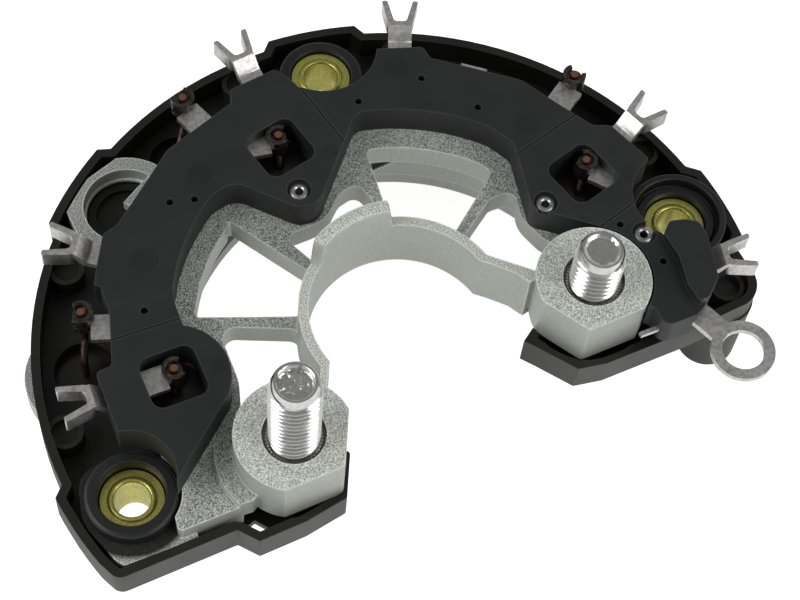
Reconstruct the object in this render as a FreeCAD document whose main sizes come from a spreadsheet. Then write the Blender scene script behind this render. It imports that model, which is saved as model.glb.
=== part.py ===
import FreeCAD, Part
import math
import os
from FreeCAD import Vector

# Alternator rectifier: a horseshoe stack of negative heat sink, plastic tray, cast positive
# heat sink and moulded terminal board, with six press-fit diodes and two output studs.
# Millimetres. The origin is on the rotor shaft's axis, in the plane of the mounting bushes' feet.
# +Z points from the alternator's housing to the studs' ends, +Y to the closed side of the horseshoe.

# Driving dimensions: alias and value
SIZES = [
    # tray
    ("rim_radius", 57.0),
    ("rim_wall", 1.4),
    ("rim_bulge", 1.7),
    ("tray_height", 6.2),
    ("tray_floor", 1.5),
    ("cup_seat", 3.2),
    ("tray_inner_radius", 33.2),
    ("guide_pitch_radius", 53.6),
    ("guide_radius", 2.8),
    ("guide_bore_radius", 2.1),
    ("guide_depth", 4.0),
    ("long_guide_radius", 4.9),
    ("long_guide_depth", 13.8),
    ("stake_radius", 1.4),
    ("stake_head_radius", 2.3),
    ("stake_head", 0.8),
    # mounting points
    ("pitch_radius", 49.15),
    ("bush_angle_1", 82.1),
    ("bush_angle_2", 192.3),
    ("bush_angle_3", 1.9),
    ("eye_angle", 130.0),
    ("bush_bore_radius", 2.75),
    ("bush_wall", 0.6),
    ("bush_flange_radius", 4.9),
    ("bush_flange", 0.9),
    ("bush_lip", 0.35),
    ("sleeve_radius", 7.0),
    ("sleeve_tube_radius", 5.6),
    ("sleeve_rise_1", 0.8),
    ("sleeve_rise_2", 2.5),
    ("sleeve_rise_3", 1.2),
    ("outer_collar_radius", 8.0),
    ("outer_collar_rise", 2.6),
    ("housing_boss_radius", 6.0),
    ("clearance", 0.15),
    # negative heat sink
    ("negative_thickness", 4.0),
    ("negative_inner_radius", 33.7),
    ("negative_outer_radius", 54.0),
    ("diode_lobe_radius", 9.6),
    # positive heat sink
    ("plate_bottom", 5.5),
    ("plate_thickness", 4.4),
    ("plate_outer_radius", 41.3),
    ("ring_radius", 14.5),
    ("ring_wall", 1.6),
    ("ring_bottom", 3.8),
    ("ring_top", 14.8),
    ("raised_top", 19.0),
    ("raised_radius", 16.7),
    ("ear_bottom", 2.6),
    ("ear_top", 5.8),
    ("ear_radius", 8.0),
    ("wedge_top", 8.7),
    ("eye_radius", 9.0),
    ("eye_hole_radius", 6.7),
    ("eye_lip_radius", 6.35),
    ("eye_lip", 0.6),
    ("eye_cup_radius", 6.1),
    ("tongue_width", 1.2),
    ("boss_radius", 9.05),
    ("boss_top", 15.7),
    ("boss_rim_radius", 11.8),
    ("counterbore_radius", 4.8),
    ("counterbore_depth", 2.2),
    ("left_stud_pitch", 27.1),
    ("left_stud_angle", 209.8),
    ("right_stud_pitch", 29.8),
    ("right_stud_angle", -12.8),
    # studs
    ("thread_radius", 3.95),
    ("knurl_radius", 4.2),
    ("stud_chamfer", 0.9),
    ("long_stud_rise", 17.5),
    ("short_stud_rise", 9.0),
    ("stud_head_radius", 5.6),
    ("stud_head", 1.2),
    # terminal board
    ("board_thickness", 5.8),
    ("board_corner", 1.6),
    ("window_side", 8.7),
    ("window_corner", 1.8),
    ("rib_rise", 1.6),
    ("seam_width", 0.35),
    ("seam_depth", 0.3),
    # conductors
    ("strip_rise", 2.5),
    ("strip_thickness", 1.0),
    ("strip_width", 4.2),
    ("bus_radius", 42.7),
    ("bus_width", 2.0),
    ("fork_half", 1.45),
    ("fork_arm", 4.6),
    ("fork_spread", 14.0),
    ("fork_sheet", 0.9),
    ("fork_height", 3.2),
    ("fork_rise", 2.0),
    ("fork_slope", 2.0),
    ("crimp_radius", 1.9),
    ("crimp_wall", 0.7),
    ("crimp_drop", 1.6),
    ("crimp_rise", 1.9),
    ("solder_rise", 1.1),
    ("crimp_mouth", 46.0),
    ("lug_radius", 5.0),
    ("lug_hole_radius", 3.3),
    # diodes
    ("diode_radius", 6.35),
    ("diode_height", 5.8),
    ("diode_wall", 1.1),
    ("cup_drop", 1.9),
    ("diode_view_radius", 4.9),
    ("seal_depth", 1.6),
    ("lead_radius", 0.6),
    ("positive_lead_bend", 0.72),
    ("negative_lead_bend", 1.8),
    ("lead_head_radius", 2.4),
    ("lead_head", 0.7),
    ("negative_pitch_radius", 49.0),
    # rivets
    ("rivet_radius", 1.1),
    ("rivet_bore_radius", 0.65),
    ("rivet_head_radius", 1.45),
    ("rivet_head", 0.6),
    ("rivet_recess_radius", 1.9),
    ("rivet_recess", 1.0),
]

# Bearings of the winding guide tubes about the shaft, in degrees
GUIDE_ANGLES = [175.6, 145.3, 96.5, 66.9, 18.0, -12.0]
# Winding forks: bearing, and distance from the shaft to the bottom of the U
FORKS = [(175.9, 49.1), (146.0, 51.3), (96.6, 52.0), (67.0, 52.4), (20.0, 51.8), (-11.5, 51.4)]
# Forks of each phase, and the bearings between which its bus bar runs
PHASE_FORKS = [(0,), (1, 2), (3, 4)]
BUS_SPANS = [(160.0, 176.0), (96.6, 146.0), (11.5, 67.0)]
TAP_FORK = 5
# Crimps on the negative diodes' leads: bearing and distance of the lead, and bearing of the strip
OUTER_CRIMPS = [(159.2, 48.7, 161.3), (110.4, 50.9, 110.9), (33.8, 51.7, 33.4)]
# Bearings between which the third bus bar shows at the board's outer edge, and its distance
BARE_BUS = (55.0, 49.0, 45.9)
# A negative diode stands this many degrees past its crimp
DIODE_LEAD_TURN = 3.7
# Windows of the board over the positive diodes: x, y and turn
WINDOWS = [(-36.5, 1.8, 0.0), (-6.9, 33.0, 13.0), (35.7, 11.1, 16.0)]
# Crimps on the positive diodes' leads: x and y, and the bearing that their strips come from
INNER_CRIMPS = [(-35.9, 3.3, 180.0), (-6.2, 35.6, 170.0), (37.6, 13.4, -50.0)]
# Hollow rivets that clamp the board to the positive heat sink: x and y
RIVETS = [(-7.05, 24.8), (28.0, 8.5), (40.0, -2.2)]
# Small blind holes in the board's face: x and y
PIN_HOLES = [(-26.5, 30.0), (-22.8, 29.1), (-36.7, 13.7), (8.0, 36.5), (19.2, 36.9),
             (25.4, 28.5), (37.1, 0.5), (40.4, -7.9)]
# Shallow seams across the board's face: x and y of both ends
SEAMS = [(-44.0, 10.9, -31.6, 10.5), (0.0, 43.5, 3.0, 30.0), (40.6, 21.8, 27.0, 18.0), (42.0, 3.6, 33.0, 1.0)]
PIN_HOLE_RADIUS = 0.6
PIN_HOLE_DEPTH = 1.5
# Heat stakes that hold the tray to the negative heat sink: bearing and distance from the shaft
STAKES = [(178.0, 42.5), (126.0, 44.0), (56.0, 45.5), (23.0, 41.0)]

doc = FreeCAD.newDocument("alternator_rectifier")
sheet = doc.addObject("Spreadsheet::Sheet", "sizes")
for row, (alias, value) in enumerate(SIZES, start=1):
    sheet.set("A%d" % row, alias)
    sheet.set("B%d" % row, str(value))
    sheet.setAlias("B%d" % row, alias)
doc.recompute()


def size(alias):
    """Value of a driving dimension, in millimetres."""
    return float(sheet.get(alias))


def polar(radius, angle, x=0.0, y=0.0):
    """Point at a distance and a bearing from (x, y)."""
    turn = math.radians(angle)
    return Vector(x + radius * math.cos(turn), y + radius * math.sin(turn), 0)


def bearing(point, centre):
    """Bearing of a point seen from a centre, in degrees."""
    return math.degrees(math.atan2(point.y - centre.y, point.x - centre.x))


def corner(x, y, radius=0.0):
    """Corner of an outline, rounded by a radius."""
    return ("corner", Vector(x, y, 0), radius)


def turn(centre, radius, start, end):
    """Round stretch of an outline about a centre, from one bearing to another."""
    return ("turn", centre, radius, start, end)


def item_ends(items):
    """First and last point of each item of an outline."""
    ends = []
    for item in items:
        if item[0] == "corner":
            ends.append((item[1], item[1]))
        else:
            centre, radius, start, end = item[1:]
            ends.append((polar(radius, start, centre.x, centre.y), polar(radius, end, centre.x, centre.y)))
    return ends


def outline(items):
    """Edges of a closed outline through corners and round stretches."""
    ends = item_ends(items)
    edges = []
    stops = []
    for index, item in enumerate(items):
        first, last = ends[index]
        if item[0] == "turn":
            centre, radius, start, end = item[1:]
            middle = polar(radius, (start + end) / 2, centre.x, centre.y)
            stops.append((first, last, Part.Arc(first, middle, last)))
        elif item[2] == 0:
            stops.append((first, last, None))
        else:
            before = (ends[index - 1][1] - first).normalize()
            after = (ends[(index + 1) % len(items)][0] - first).normalize()
            half = before.getAngle(after) / 2
            room = min((ends[index - 1][1] - first).Length, (ends[(index + 1) % len(items)][0] - first).Length)
            reach = min(item[2] / math.tan(half), 0.48 * room)
            radius = reach * math.tan(half)
            start = first + before * reach
            stop = first + after * reach
            inward = (before + after).normalize()
            middle = first + inward * (radius / math.sin(half) - radius)
            stops.append((start, stop, Part.Arc(start, middle, stop)))
    for index, (start, stop, arc) in enumerate(stops):
        if arc:
            edges.append(arc)
        following = stops[(index + 1) % len(stops)][0]
        if (following - stop).Length > 1e-6:
            edges.append(Part.LineSegment(stop, following))
    return edges


def circle(radius, x=0.0, y=0.0):
    """Outline of a round hole or disc."""
    return [Part.Circle(Vector(x, y, 0), Vector(0, 0, 1), radius)]


def box_outline(x, y, length, width, angle, radius=0.0):
    """Outline of a turned rectangle about its middle, with rounded corners."""
    corners = []
    for along, across in ((0.5, 0.5), (-0.5, 0.5), (-0.5, -0.5), (0.5, -0.5)):
        offset = FreeCAD.Rotation(Vector(0, 0, 1), angle).multVec(Vector(along * length, across * width, 0))
        corners.append(corner(x + offset.x, y + offset.y, radius))
    return outline(corners)


def strip_outline(start, end, width):
    """Outline of a straight strip between two points."""
    middle = (start + end) / 2
    return box_outline(middle.x, middle.y, (end - start).Length, width, bearing(end, start))


def crossing(first, second):
    """Point where two lines meet, each given by a point and a direction."""
    start, along = first
    other, across = second
    turned = along.x * across.y - along.y * across.x
    if abs(turned) < 1e-6:
        return other
    reach = ((other.x - start.x) * across.y - (other.y - start.y) * across.x) / turned
    return start + along * reach


def meeting(line, centre, radius, near):
    """Point where a line meets a circle, nearest to a given point."""
    start, along = line
    middle = (centre - start).dot(along)
    aside = (start + along * middle - centre).Length
    half = math.sqrt(max(radius ** 2 - aside ** 2, 0.0))
    choices = [start + along * (middle - half), start + along * (middle + half)]
    return min(choices, key=lambda point: (point - near).Length)


def same_turn(angle, near):
    """A bearing in the turn that lies nearest to another."""
    return angle + 360 * round((near - angle) / 360)


def inset(items, distance):
    """Items of an outline moved inwards by a distance; the outline runs counterclockwise."""
    ends = item_ends(items)
    lines = []
    for index in range(len(items)):
        start = ends[index][1]
        along = (ends[(index + 1) % len(items)][0] - start).normalize()
        lines.append((start + Vector(-along.y, along.x, 0) * distance, along))
    moved = []
    for index, item in enumerate(items):
        before = lines[index - 1]
        after = lines[index]
        if item[0] == "corner":
            left_turn = before[1].x * after[1].y > before[1].y * after[1].x
            rounding = item[2] + (-distance if left_turn else distance)
            place = crossing(before, after)
            moved.append(corner(place.x, place.y, max(rounding, 0.0) if item[2] else 0.0))
        else:
            centre, radius, start, end = item[1:]
            smaller = radius - distance if end > start else radius + distance
            first = meeting(before, centre, smaller, ends[index][0])
            last = meeting(after, centre, smaller, ends[index][1])
            moved.append(turn(centre, smaller, same_turn(bearing(first, centre), start),
                              same_turn(bearing(last, centre), end)))
    return moved


def new_body(label):
    """Empty body of one piece."""
    body = doc.addObject("PartDesign::Body", label)
    body.Label = label
    return body


def plane_of(body, role):
    """One of a body's own origin planes."""
    return [item for item in body.Origin.OriginFeatures if item.Role == role][0]


def draw(body, loops, level):
    """Sketch of outlines on the body's XY plane, at a level given as an expression."""
    sketch = body.newObject("Sketcher::SketchObject", "outline")
    sketch.AttachmentSupport = [(plane_of(body, "XY_Plane"), "")]
    sketch.MapMode = "FlatFace"
    sketch.setExpression(".AttachmentOffset.Base.z", level)
    for loop in loops:
        sketch.addGeometry(loop, False)
    return sketch


def pad(body, loops, bottom, top):
    """Extrusion of outlines between two levels, given as expressions."""
    feature = body.newObject("PartDesign::Pad", "pad")
    feature.Profile = draw(body, loops, bottom)
    feature.setExpression("Length", "(%s) - (%s)" % (top, bottom))
    return feature


def pocket(body, loops, top, bottom):
    """Cut of outlines from a top level down to a bottom level, given as expressions."""
    feature = body.newObject("PartDesign::Pocket", "pocket")
    feature.Profile = draw(body, loops, top)
    feature.setExpression("Length", "(%s) - (%s)" % (top, bottom))
    return feature


def revolved(label, profile, x, y):
    """Turned piece about a vertical axis at (x, y), from (radius, height) corners."""
    body = new_body(label)
    sketch = body.newObject("Sketcher::SketchObject", "section")
    sketch.AttachmentSupport = [(plane_of(body, "XZ_Plane"), "")]
    sketch.MapMode = "FlatFace"
    sketch.addGeometry(outline([corner(radius, height) for radius, height in profile]), False)
    turned = body.newObject("PartDesign::Revolution", "turned")
    turned.Profile = sketch
    turned.ReferenceAxis = (sketch, ["V_Axis"])
    turned.Angle = 360
    body.Placement.Base = Vector(x, y, 0)
    return body


RIM = "sizes.tray_height"
FLOOR = "sizes.tray_floor"
PLATE_LOW = "sizes.plate_bottom"
PLATE_TOP = "sizes.plate_bottom + sizes.plate_thickness"
BOARD_TOP = "sizes.plate_bottom + sizes.plate_thickness + sizes.board_thickness"
STRIP_LOW = "sizes.plate_bottom + sizes.plate_thickness + sizes.strip_rise"
STRIP_TOP = STRIP_LOW + " + sizes.strip_thickness"
NEGATIVE_LOW = "0 - sizes.negative_thickness"

ORIGIN = Vector(0, 0, 0)
plate_top = size("plate_bottom") + size("plate_thickness")
board_top = plate_top + size("board_thickness")
strip_low = plate_top + size("strip_rise")
strip_top = strip_low + size("strip_thickness")
bush_places = [polar(size("pitch_radius"), size("bush_angle_%d" % number)) for number in (1, 2, 3)]
eye_place = polar(size("pitch_radius"), size("eye_angle"))
left_boss = polar(size("left_stud_pitch"), size("left_stud_angle"))
right_boss = polar(size("right_stud_pitch"), size("right_stud_angle"))
guide_places = [polar(size("guide_pitch_radius"), angle) for angle in GUIDE_ANGLES]
outer_crimps = [polar(distance, angle) for angle, distance, strip in OUTER_CRIMPS]
inner_crimps = [Vector(x, y, 0) for x, y, side in INNER_CRIMPS]
negative_places = [polar(size("negative_pitch_radius"), angle + DIODE_LEAD_TURN)
                   for angle, distance, strip in OUTER_CRIMPS]
positive_places = [Vector(x, y, 0) for x, y, angle in WINDOWS]
stake_places = [polar(distance, angle) for angle, distance in STAKES]
gap = size("clearance")


def tray_outline():
    """Outer edge of the tray, from its right-hand end round to its left-hand end."""
    rim = size("rim_radius")
    bulge = rim + size("rim_bulge")
    first, second, third = (size("bush_angle_%d" % number) for number in (1, 2, 3))
    eye = size("eye_angle")
    foot = guide_places[-1]
    items = [
        turn(foot, size("long_guide_radius") - 0.3, -92, 14),
        turn(ORIGIN, rim, third - 8.5, third - 7.5),
        turn(ORIGIN, bulge, third - 6.0, third + 7.0),
        turn(ORIGIN, rim, third + 9.0, first - 9.5),
        turn(ORIGIN, bulge, first - 8.0, first + 6.5),
        turn(ORIGIN, rim, first + 8.0, eye - 8.0),
        turn(ORIGIN, bulge, eye - 6.6, eye + 8.5),
        turn(ORIGIN, rim, eye + 10.5, second - 8.0),
        turn(ORIGIN, bulge, second - 6.5, second - 4.5),
        turn(ORIGIN, bulge, second - 0.6, second + 5.6),
        corner(-54.3, -21.4, 2.0),
        corner(-35.4, -20.8, 0.5),
        corner(-33.0, -23.7, 0.5),
        corner(-25.4, -23.4),
        corner(-18.4, -22.2, 0.6),
        corner(-14.9, -15.2, 0.6),
        corner(-17.6, -13.4, 0.6),
        corner(-29.4, -9.6, 1.5),
        corner(-33.0, -3.5, 2.0),
        turn(ORIGIN, size("tray_inner_radius"), 179.0, 9.5),
        corner(30.0, 1.0, 2.5),
        corner(22.0, -5.2, 2.5),
        corner(17.4, -8.4),
        corner(19.0, -10.4),
        corner(23.2, -16.0, 0.5),
        corner(27.9, -16.8),
        corner(43.0, -16.5),
    ]
    return items


def make_negative_heat_sink():
    """Die-cast carrier of the three negative diodes, under the tray."""
    body = new_body("negative_heat_sink")
    outer = size("negative_outer_radius")
    inner = size("negative_inner_radius")
    pad(body, [outline([turn(ORIGIN, outer, 1, 174), turn(ORIGIN, inner, 174, 12)])], NEGATIVE_LOW, "0")
    for place in negative_places:
        pad(body, [circle(size("diode_lobe_radius"), place.x, place.y)], NEGATIVE_LOW, "0")
    holes = [circle(size("diode_radius"), place.x, place.y) for place in negative_places]
    for place in (bush_places[0], bush_places[2]):
        holes.append(circle(size("housing_boss_radius"), place.x, place.y))
    holes += [circle(size("eye_lip_radius"), eye_place.x, eye_place.y)]
    holes += [circle(size("guide_radius") + 2 * gap, place.x, place.y) for place in guide_places[:5]]
    holes += [circle(size("stake_radius") + gap, place.x, place.y) for place in stake_places]
    pocket(body, holes, "0", NEGATIVE_LOW)
    return body


def make_tray():
    """Moulded tray between the heat sinks, with its rim, guide tubes and heat stakes."""
    body = new_body("base_tray")
    edge = tray_outline()
    pad(body, [outline(edge)], "0", RIM)
    pocket(body, [outline(inset(edge, size("rim_wall")))], RIM, FLOOR)
    for place in guide_places:
        radius = size("guide_radius")
        pad(body, [circle(radius, place.x, place.y)], FLOOR, RIM + " - 1.0")
    for place in guide_places[:5]:
        pad(body, [circle(size("guide_radius"), place.x, place.y)], "0 - sizes.guide_depth", FLOOR)
    foot = guide_places[-1]
    pad(body, [circle(size("long_guide_radius"), foot.x, foot.y)], "0 - sizes.long_guide_depth", FLOOR)
    for number in (0, 1, 2):
        place = bush_places[number]
        pad(body, [circle(size("sleeve_radius"), place.x, place.y)], "0", "sizes.ear_bottom")
    pad(body, [circle(size("eye_cup_radius"), eye_place.x, eye_place.y)], "0", "sizes.ear_bottom - 0.1")
    pocket(body, [circle(size("eye_cup_radius") - 1.2, eye_place.x, eye_place.y)], RIM, FLOOR)
    for place in stake_places:
        pad(body, [circle(size("stake_radius"), place.x, place.y)], NEGATIVE_LOW, FLOOR)
        pad(body, [circle(size("stake_head_radius"), place.x, place.y)],
            NEGATIVE_LOW + " - sizes.stake_head", NEGATIVE_LOW)
    holes = [circle(size("guide_bore_radius"), place.x, place.y) for place in guide_places]
    pocket(body, holes, RIM, "0 - sizes.long_guide_depth")

    # Seats of the positive heat sink, its bosses and its diodes
    pocket(body, [outline(inset(plate_outline(), -2 * gap))], RIM, PLATE_LOW)
    pocket(body, [circle(size("boss_radius") + 2 * gap, place.x, place.y) for place in (left_boss, right_boss)],
           RIM, PLATE_LOW)
    pocket(body, [circle(size("diode_radius") + 2 * gap, place.x, place.y) for place in positive_places],
           RIM, "sizes.cup_seat")
    drain = outline([corner(-34.3, -19.4), corner(-31.8, -18.6), corner(-29.9, -21.1), corner(-32.4, -21.9)])
    pocket(body, [drain], RIM, "0")
    holes = [circle(size("sleeve_tube_radius") + gap, place.x, place.y) for place in bush_places]
    holes += [circle(size("diode_view_radius"), place.x, place.y) for place in negative_places]
    pocket(body, holes, RIM, "0")
    return body


def flat_sided_boss(centre, corners):
    """Outline of a stud boss: round, with flats between the given bearings."""
    radius = size("boss_radius")
    items = [turn(centre, radius, corners[-1], corners[0] + 360)]
    for angle in corners[1:-1]:
        place = polar(radius, angle, centre.x, centre.y)
        items.append(corner(place.x, place.y, 0.6))
    return outline(items)


LEFT_BOSS_CORNERS = (-119.8, -56.5, 4.1)
RIGHT_BOSS_CORNERS = (184.5, 239.7, 303.3)


# Distance from the shaft to the round outer sides of the larger spoke windows
WINDOW_REACH = 31.8
# Distance from the shaft to the board's inner edge
BOARD_INSIDE = 35.1


def spoke_windows():
    """Openings between the positive heat sink's spokes, whose inner ends lie in the ring's wall."""
    inside = size("ring_radius") + size("ring_wall") / 2
    first = outline([
        turn(ORIGIN, inside, 126.5, 153.5),
        corner(-15.8, 7.5, 1.2),
        corner(-29.2, 12.7, 1.6),
        turn(ORIGIN, WINDOW_REACH, 153.5, 126.5),
        corner(-18.2, 26.9, 1.8),
    ])
    second = outline([
        corner(-15.5, 5.0, 1.5),
        corner(-26.6, 9.9, 2.0),
        corner(-26.9, 0.0, 8.0),
        corner(-28.6, -5.2),
        corner(-20.5, -7.0),
        corner(-16.0, -5.6),
    ])
    third = outline([
        turn(ORIGIN, inside, 72.5, 120.5),
        corner(-11.3, 20.9, 1.4),
        corner(-3.9, 21.2, 6.0),
        corner(-0.1, 24.9, 3.0),
        corner(3.2, 25.7, 1.6),
        corner(4.3, 22.6, 3.0),
    ])
    fourth = outline([
        turn(ORIGIN, inside, 39.5, 70.0),
        corner(7.1, 30.8, 1.8),
        turn(ORIGIN, WINDOW_REACH, 73.5, 43.0),
        corner(24.5, 19.6, 1.3),
    ])
    fifth = outline([
        turn(ORIGIN, inside, 34.0, 16.0),
        corner(18.3, 1.6),
        corner(23.4, -2.4),
        corner(29.4, 1.6),
        corner(26.6, 5.8, 6.0),
        corner(25.1, 10.4, 5.0),
        corner(26.4, 15.2, 2.2),
        corner(22.1, 15.2, 1.6),
    ])
    return [first, second, third, fourth, fifth]


def plate_outline():
    """Outer edge of the positive heat sink's plate, which ends in the ring's wall and the bosses."""
    outer = size("plate_outer_radius")
    inside = size("ring_radius") + size("ring_wall") / 2
    return [
        corner(right_boss.x + 4, right_boss.y - 4),
        corner(42.2, -10.6, 1.0),
        turn(bush_places[2], size("outer_collar_radius") + 2 * gap, 238, 152),
        turn(ORIGIN, outer, 10, 174),
        corner(-40.4, -2.0),
        corner(-39.2, -8.6),
        turn(left_boss, size("boss_rim_radius"), 154, 206),
        corner(-32.0, left_boss.y - 5.3, 0.6),
        corner(left_boss.x, left_boss.y),
        corner(-16.4, -8.4),
        turn(ORIGIN, inside, 196, 13),
        corner(19.0, -1.6),
        corner(right_boss.x, right_boss.y),
    ]


def eye_outline():
    """Ear round the mounting eye, cut off by the tray's wall and tied to the plate under the board."""
    radius = size("eye_radius")
    inside_rim = size("rim_radius") + size("rim_bulge") - size("rim_wall") - 2 * gap
    angle = size("eye_angle")
    return outline([
        turn(ORIGIN, inside_rim, angle - 1.5, angle + 5.5),
        turn(eye_place, radius, angle + 52, angle + 92),
        corner(-35.6, 21.0),
        corner(-19.0, 36.4),
        turn(eye_place, radius, angle - 92, angle - 50),
    ])


def make_positive_heat_sink():
    """Cast heat sink with its inner ring, spokes, stud bosses and mounting ears."""
    body = new_body("positive_heat_sink")
    pad(body, [outline(plate_outline())], PLATE_LOW, PLATE_TOP)
    pocket(body, spoke_windows(), PLATE_TOP, PLATE_LOW)
    for place in positive_places:
        pad(body, [circle(size("diode_radius") + 1.8, place.x, place.y)], PLATE_LOW, PLATE_TOP)

    # Low ears round the second and third bushes, tied to the plate by thicker webs
    wedge = outline([
        corner(-43.8, -18.8, 0.8),
        corner(-33.6, -18.6),
        corner(-30.0, -12.0),
        corner(-36.0, -6.0),
        corner(-41.5, -4.5, 1.0),
    ])
    pad(body, [wedge], "sizes.ear_bottom", "sizes.wedge_top")
    web = outline([corner(38.0, -9.5), corner(42.4, -9.8), corner(42.4, 7.0), corner(38.0, 6.0)])
    pad(body, [web], "sizes.ear_bottom", "sizes.ear_top")
    ear = outline([
        corner(-41.0, -3.6),
        corner(-47.0, -2.6, 3.0),
        corner(-54.2, -3.4, 4.0),
        corner(-56.0, -11.2, 6.0),
        corner(-53.5, -18.4, 2.0),
        corner(-52.6, -19.6, 1.0),
        corner(-41.0, -19.6),
    ])
    pad(body, [ear], "sizes.ear_bottom", "sizes.ear_top")
    third = circle(size("ear_radius"), bush_places[2].x, bush_places[2].y)
    pad(body, [third], "sizes.ear_bottom", "sizes.ear_top")
    pad(body, [eye_outline()], "sizes.ear_bottom", "sizes.ear_top")
    clear = [circle(size("sleeve_radius") + 3 * gap, bush_places[1].x, bush_places[1].y)]
    pocket(body, clear, PLATE_TOP, "sizes.ear_top")

    # Inner ring, its tails to the bosses and the raised stretch
    radius = size("ring_radius")
    wall = size("ring_wall")
    ring = outline([
        turn(ORIGIN, radius + wall, 13.5, 196.0),
        corner(-17.2, -7.6),
        corner(-20.0, -9.4),
        corner(-18.2, -10.6),
        corner(-16.1, -8.0),
        turn(ORIGIN, radius, 196.5, 13.0),
        corner(15.8, 1.8),
        corner(18.4, -0.8),
        corner(19.8, -3.2),
        corner(22.6, -2.6),
    ])
    pad(body, [ring], "sizes.ring_bottom", "sizes.ring_top")
    raised = outline([
        turn(ORIGIN, size("raised_radius"), 76.5, 121.0),
        turn(ORIGIN, radius + 0.2, 121.0, 76.5),
    ])
    pad(body, [raised], "sizes.ring_top - 1", "sizes.raised_top")

    # Stud bosses
    for centre, corners in ((left_boss, LEFT_BOSS_CORNERS), (right_boss, RIGHT_BOSS_CORNERS)):
        pad(body, [flat_sided_boss(centre, corners)], PLATE_LOW, "sizes.boss_top")
    top = "sizes.boss_top"
    bores = [circle(size("counterbore_radius"), place.x, place.y) for place in (left_boss, right_boss)]
    pocket(body, bores, top, top + " - sizes.counterbore_depth")
    seats = [circle(size("knurl_radius"), place.x, place.y) for place in (left_boss, right_boss)]
    pocket(body, seats, top, PLATE_LOW)
    heads = [circle(size("stud_head_radius"), place.x, place.y) for place in (left_boss, right_boss)]
    pocket(body, heads, PLATE_LOW + " + sizes.stud_head", PLATE_LOW)

    # Diode seats, rivet holes, bush holes and the stepped eye
    holes = [circle(size("diode_radius"), place.x, place.y) for place in positive_places]
    holes += [circle(size("rivet_radius"), x, y) for x, y in RIVETS]
    pocket(body, holes, PLATE_TOP, "sizes.ear_bottom")
    heads = [circle(size("rivet_head_radius") + 2 * gap, x, y) for x, y in RIVETS]
    pocket(body, heads, PLATE_LOW, "sizes.ear_bottom")
    holes = [circle(size("sleeve_tube_radius") + gap, place.x, place.y) for place in bush_places[1:]]
    pocket(body, holes, PLATE_TOP, "sizes.ear_bottom")
    pocket(body, [circle(size("eye_hole_radius"), eye_place.x, eye_place.y)],
           PLATE_TOP, "sizes.ear_bottom + sizes.eye_lip")
    pocket(body, [circle(size("eye_lip_radius"), eye_place.x, eye_place.y)], PLATE_TOP, "sizes.ear_bottom")
    inner = polar(0.6, 60, eye_place.x, eye_place.y)
    outer = polar(size("eye_radius") - 1.0, 33, eye_place.x, eye_place.y)
    pad(body, [strip_outline(inner, outer, size("tongue_width"))],
        "sizes.ear_bottom + sizes.eye_lip", "sizes.ear_top - 0.6")
    return body


def board_outline():
    """Outline of the terminal board's face."""
    round_corner = size("board_corner")
    cut = size("sleeve_radius")
    return outline([
        turn(bush_places[1], cut, -28, 83),
        corner(-46.9, 6.7, 0.8),
        corner(-44.3, 6.9, 0.8),
        corner(-41.6, 15.5),
        corner(-41.4, 20.0),
        corner(-42.2, 20.6),
        corner(-40.7, 23.6),
        corner(-38.0, 28.4, 0.8),
        corner(-35.4, 29.2, 0.8),
        corner(-28.6, 34.8),
        corner(-23.6, 39.0, 2.0),
        corner(-19.4, 40.6),
        corner(-11.0, 43.6, 1.0),
        corner(-10.4, 46.0, 0.9),
        corner(-2.0, 47.1, 1.2),
        turn(bush_places[0], cut + 1.9, 222, 334),
        corner(21.9, 42.4, 1.0),
        corner(22.2, 39.9, 0.8),
        corner(26.2, 36.9),
        corner(34.2, 30.6, 4.0),
        corner(37.2, 25.3),
        corner(41.2, 18.6, 1.0),
        corner(43.9, 17.5, 1.0),
        corner(46.9, 9.4, 1.0),
        turn(bush_places[2], size("outer_collar_radius") + 2 * gap, 118, 236),
        corner(48.9, -6.6, 0.8),
        corner(47.2, -13.6, 1.2),
        corner(42.6, -17.4),
        corner(41.0, -18.2, 0.8),
        corner(35.6, -18.2, 1.6),
        corner(35.5, -14.6, 1.0),
        turn(right_boss, size("boss_radius") + 2 * gap, -52, 52),
        corner(25.6, 8.2, round_corner),
        corner(27.9, 20.4, 3.0),
        turn(ORIGIN, BOARD_INSIDE + 0.3, 43.5, 73.0),
        corner(6.8, 34.8, 2.6),
        corner(-5.0, 21.5, 3.0),
        corner(-8.4, 21.8, 3.0),
        corner(-16.0, 29.9, 4.0),
        turn(ORIGIN, BOARD_INSIDE, 125.0, 153.5),
        corner(-32.0, 13.4, 2.5),
        turn(positive_places[0], 8.6, 60, -42),
    ])


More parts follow.
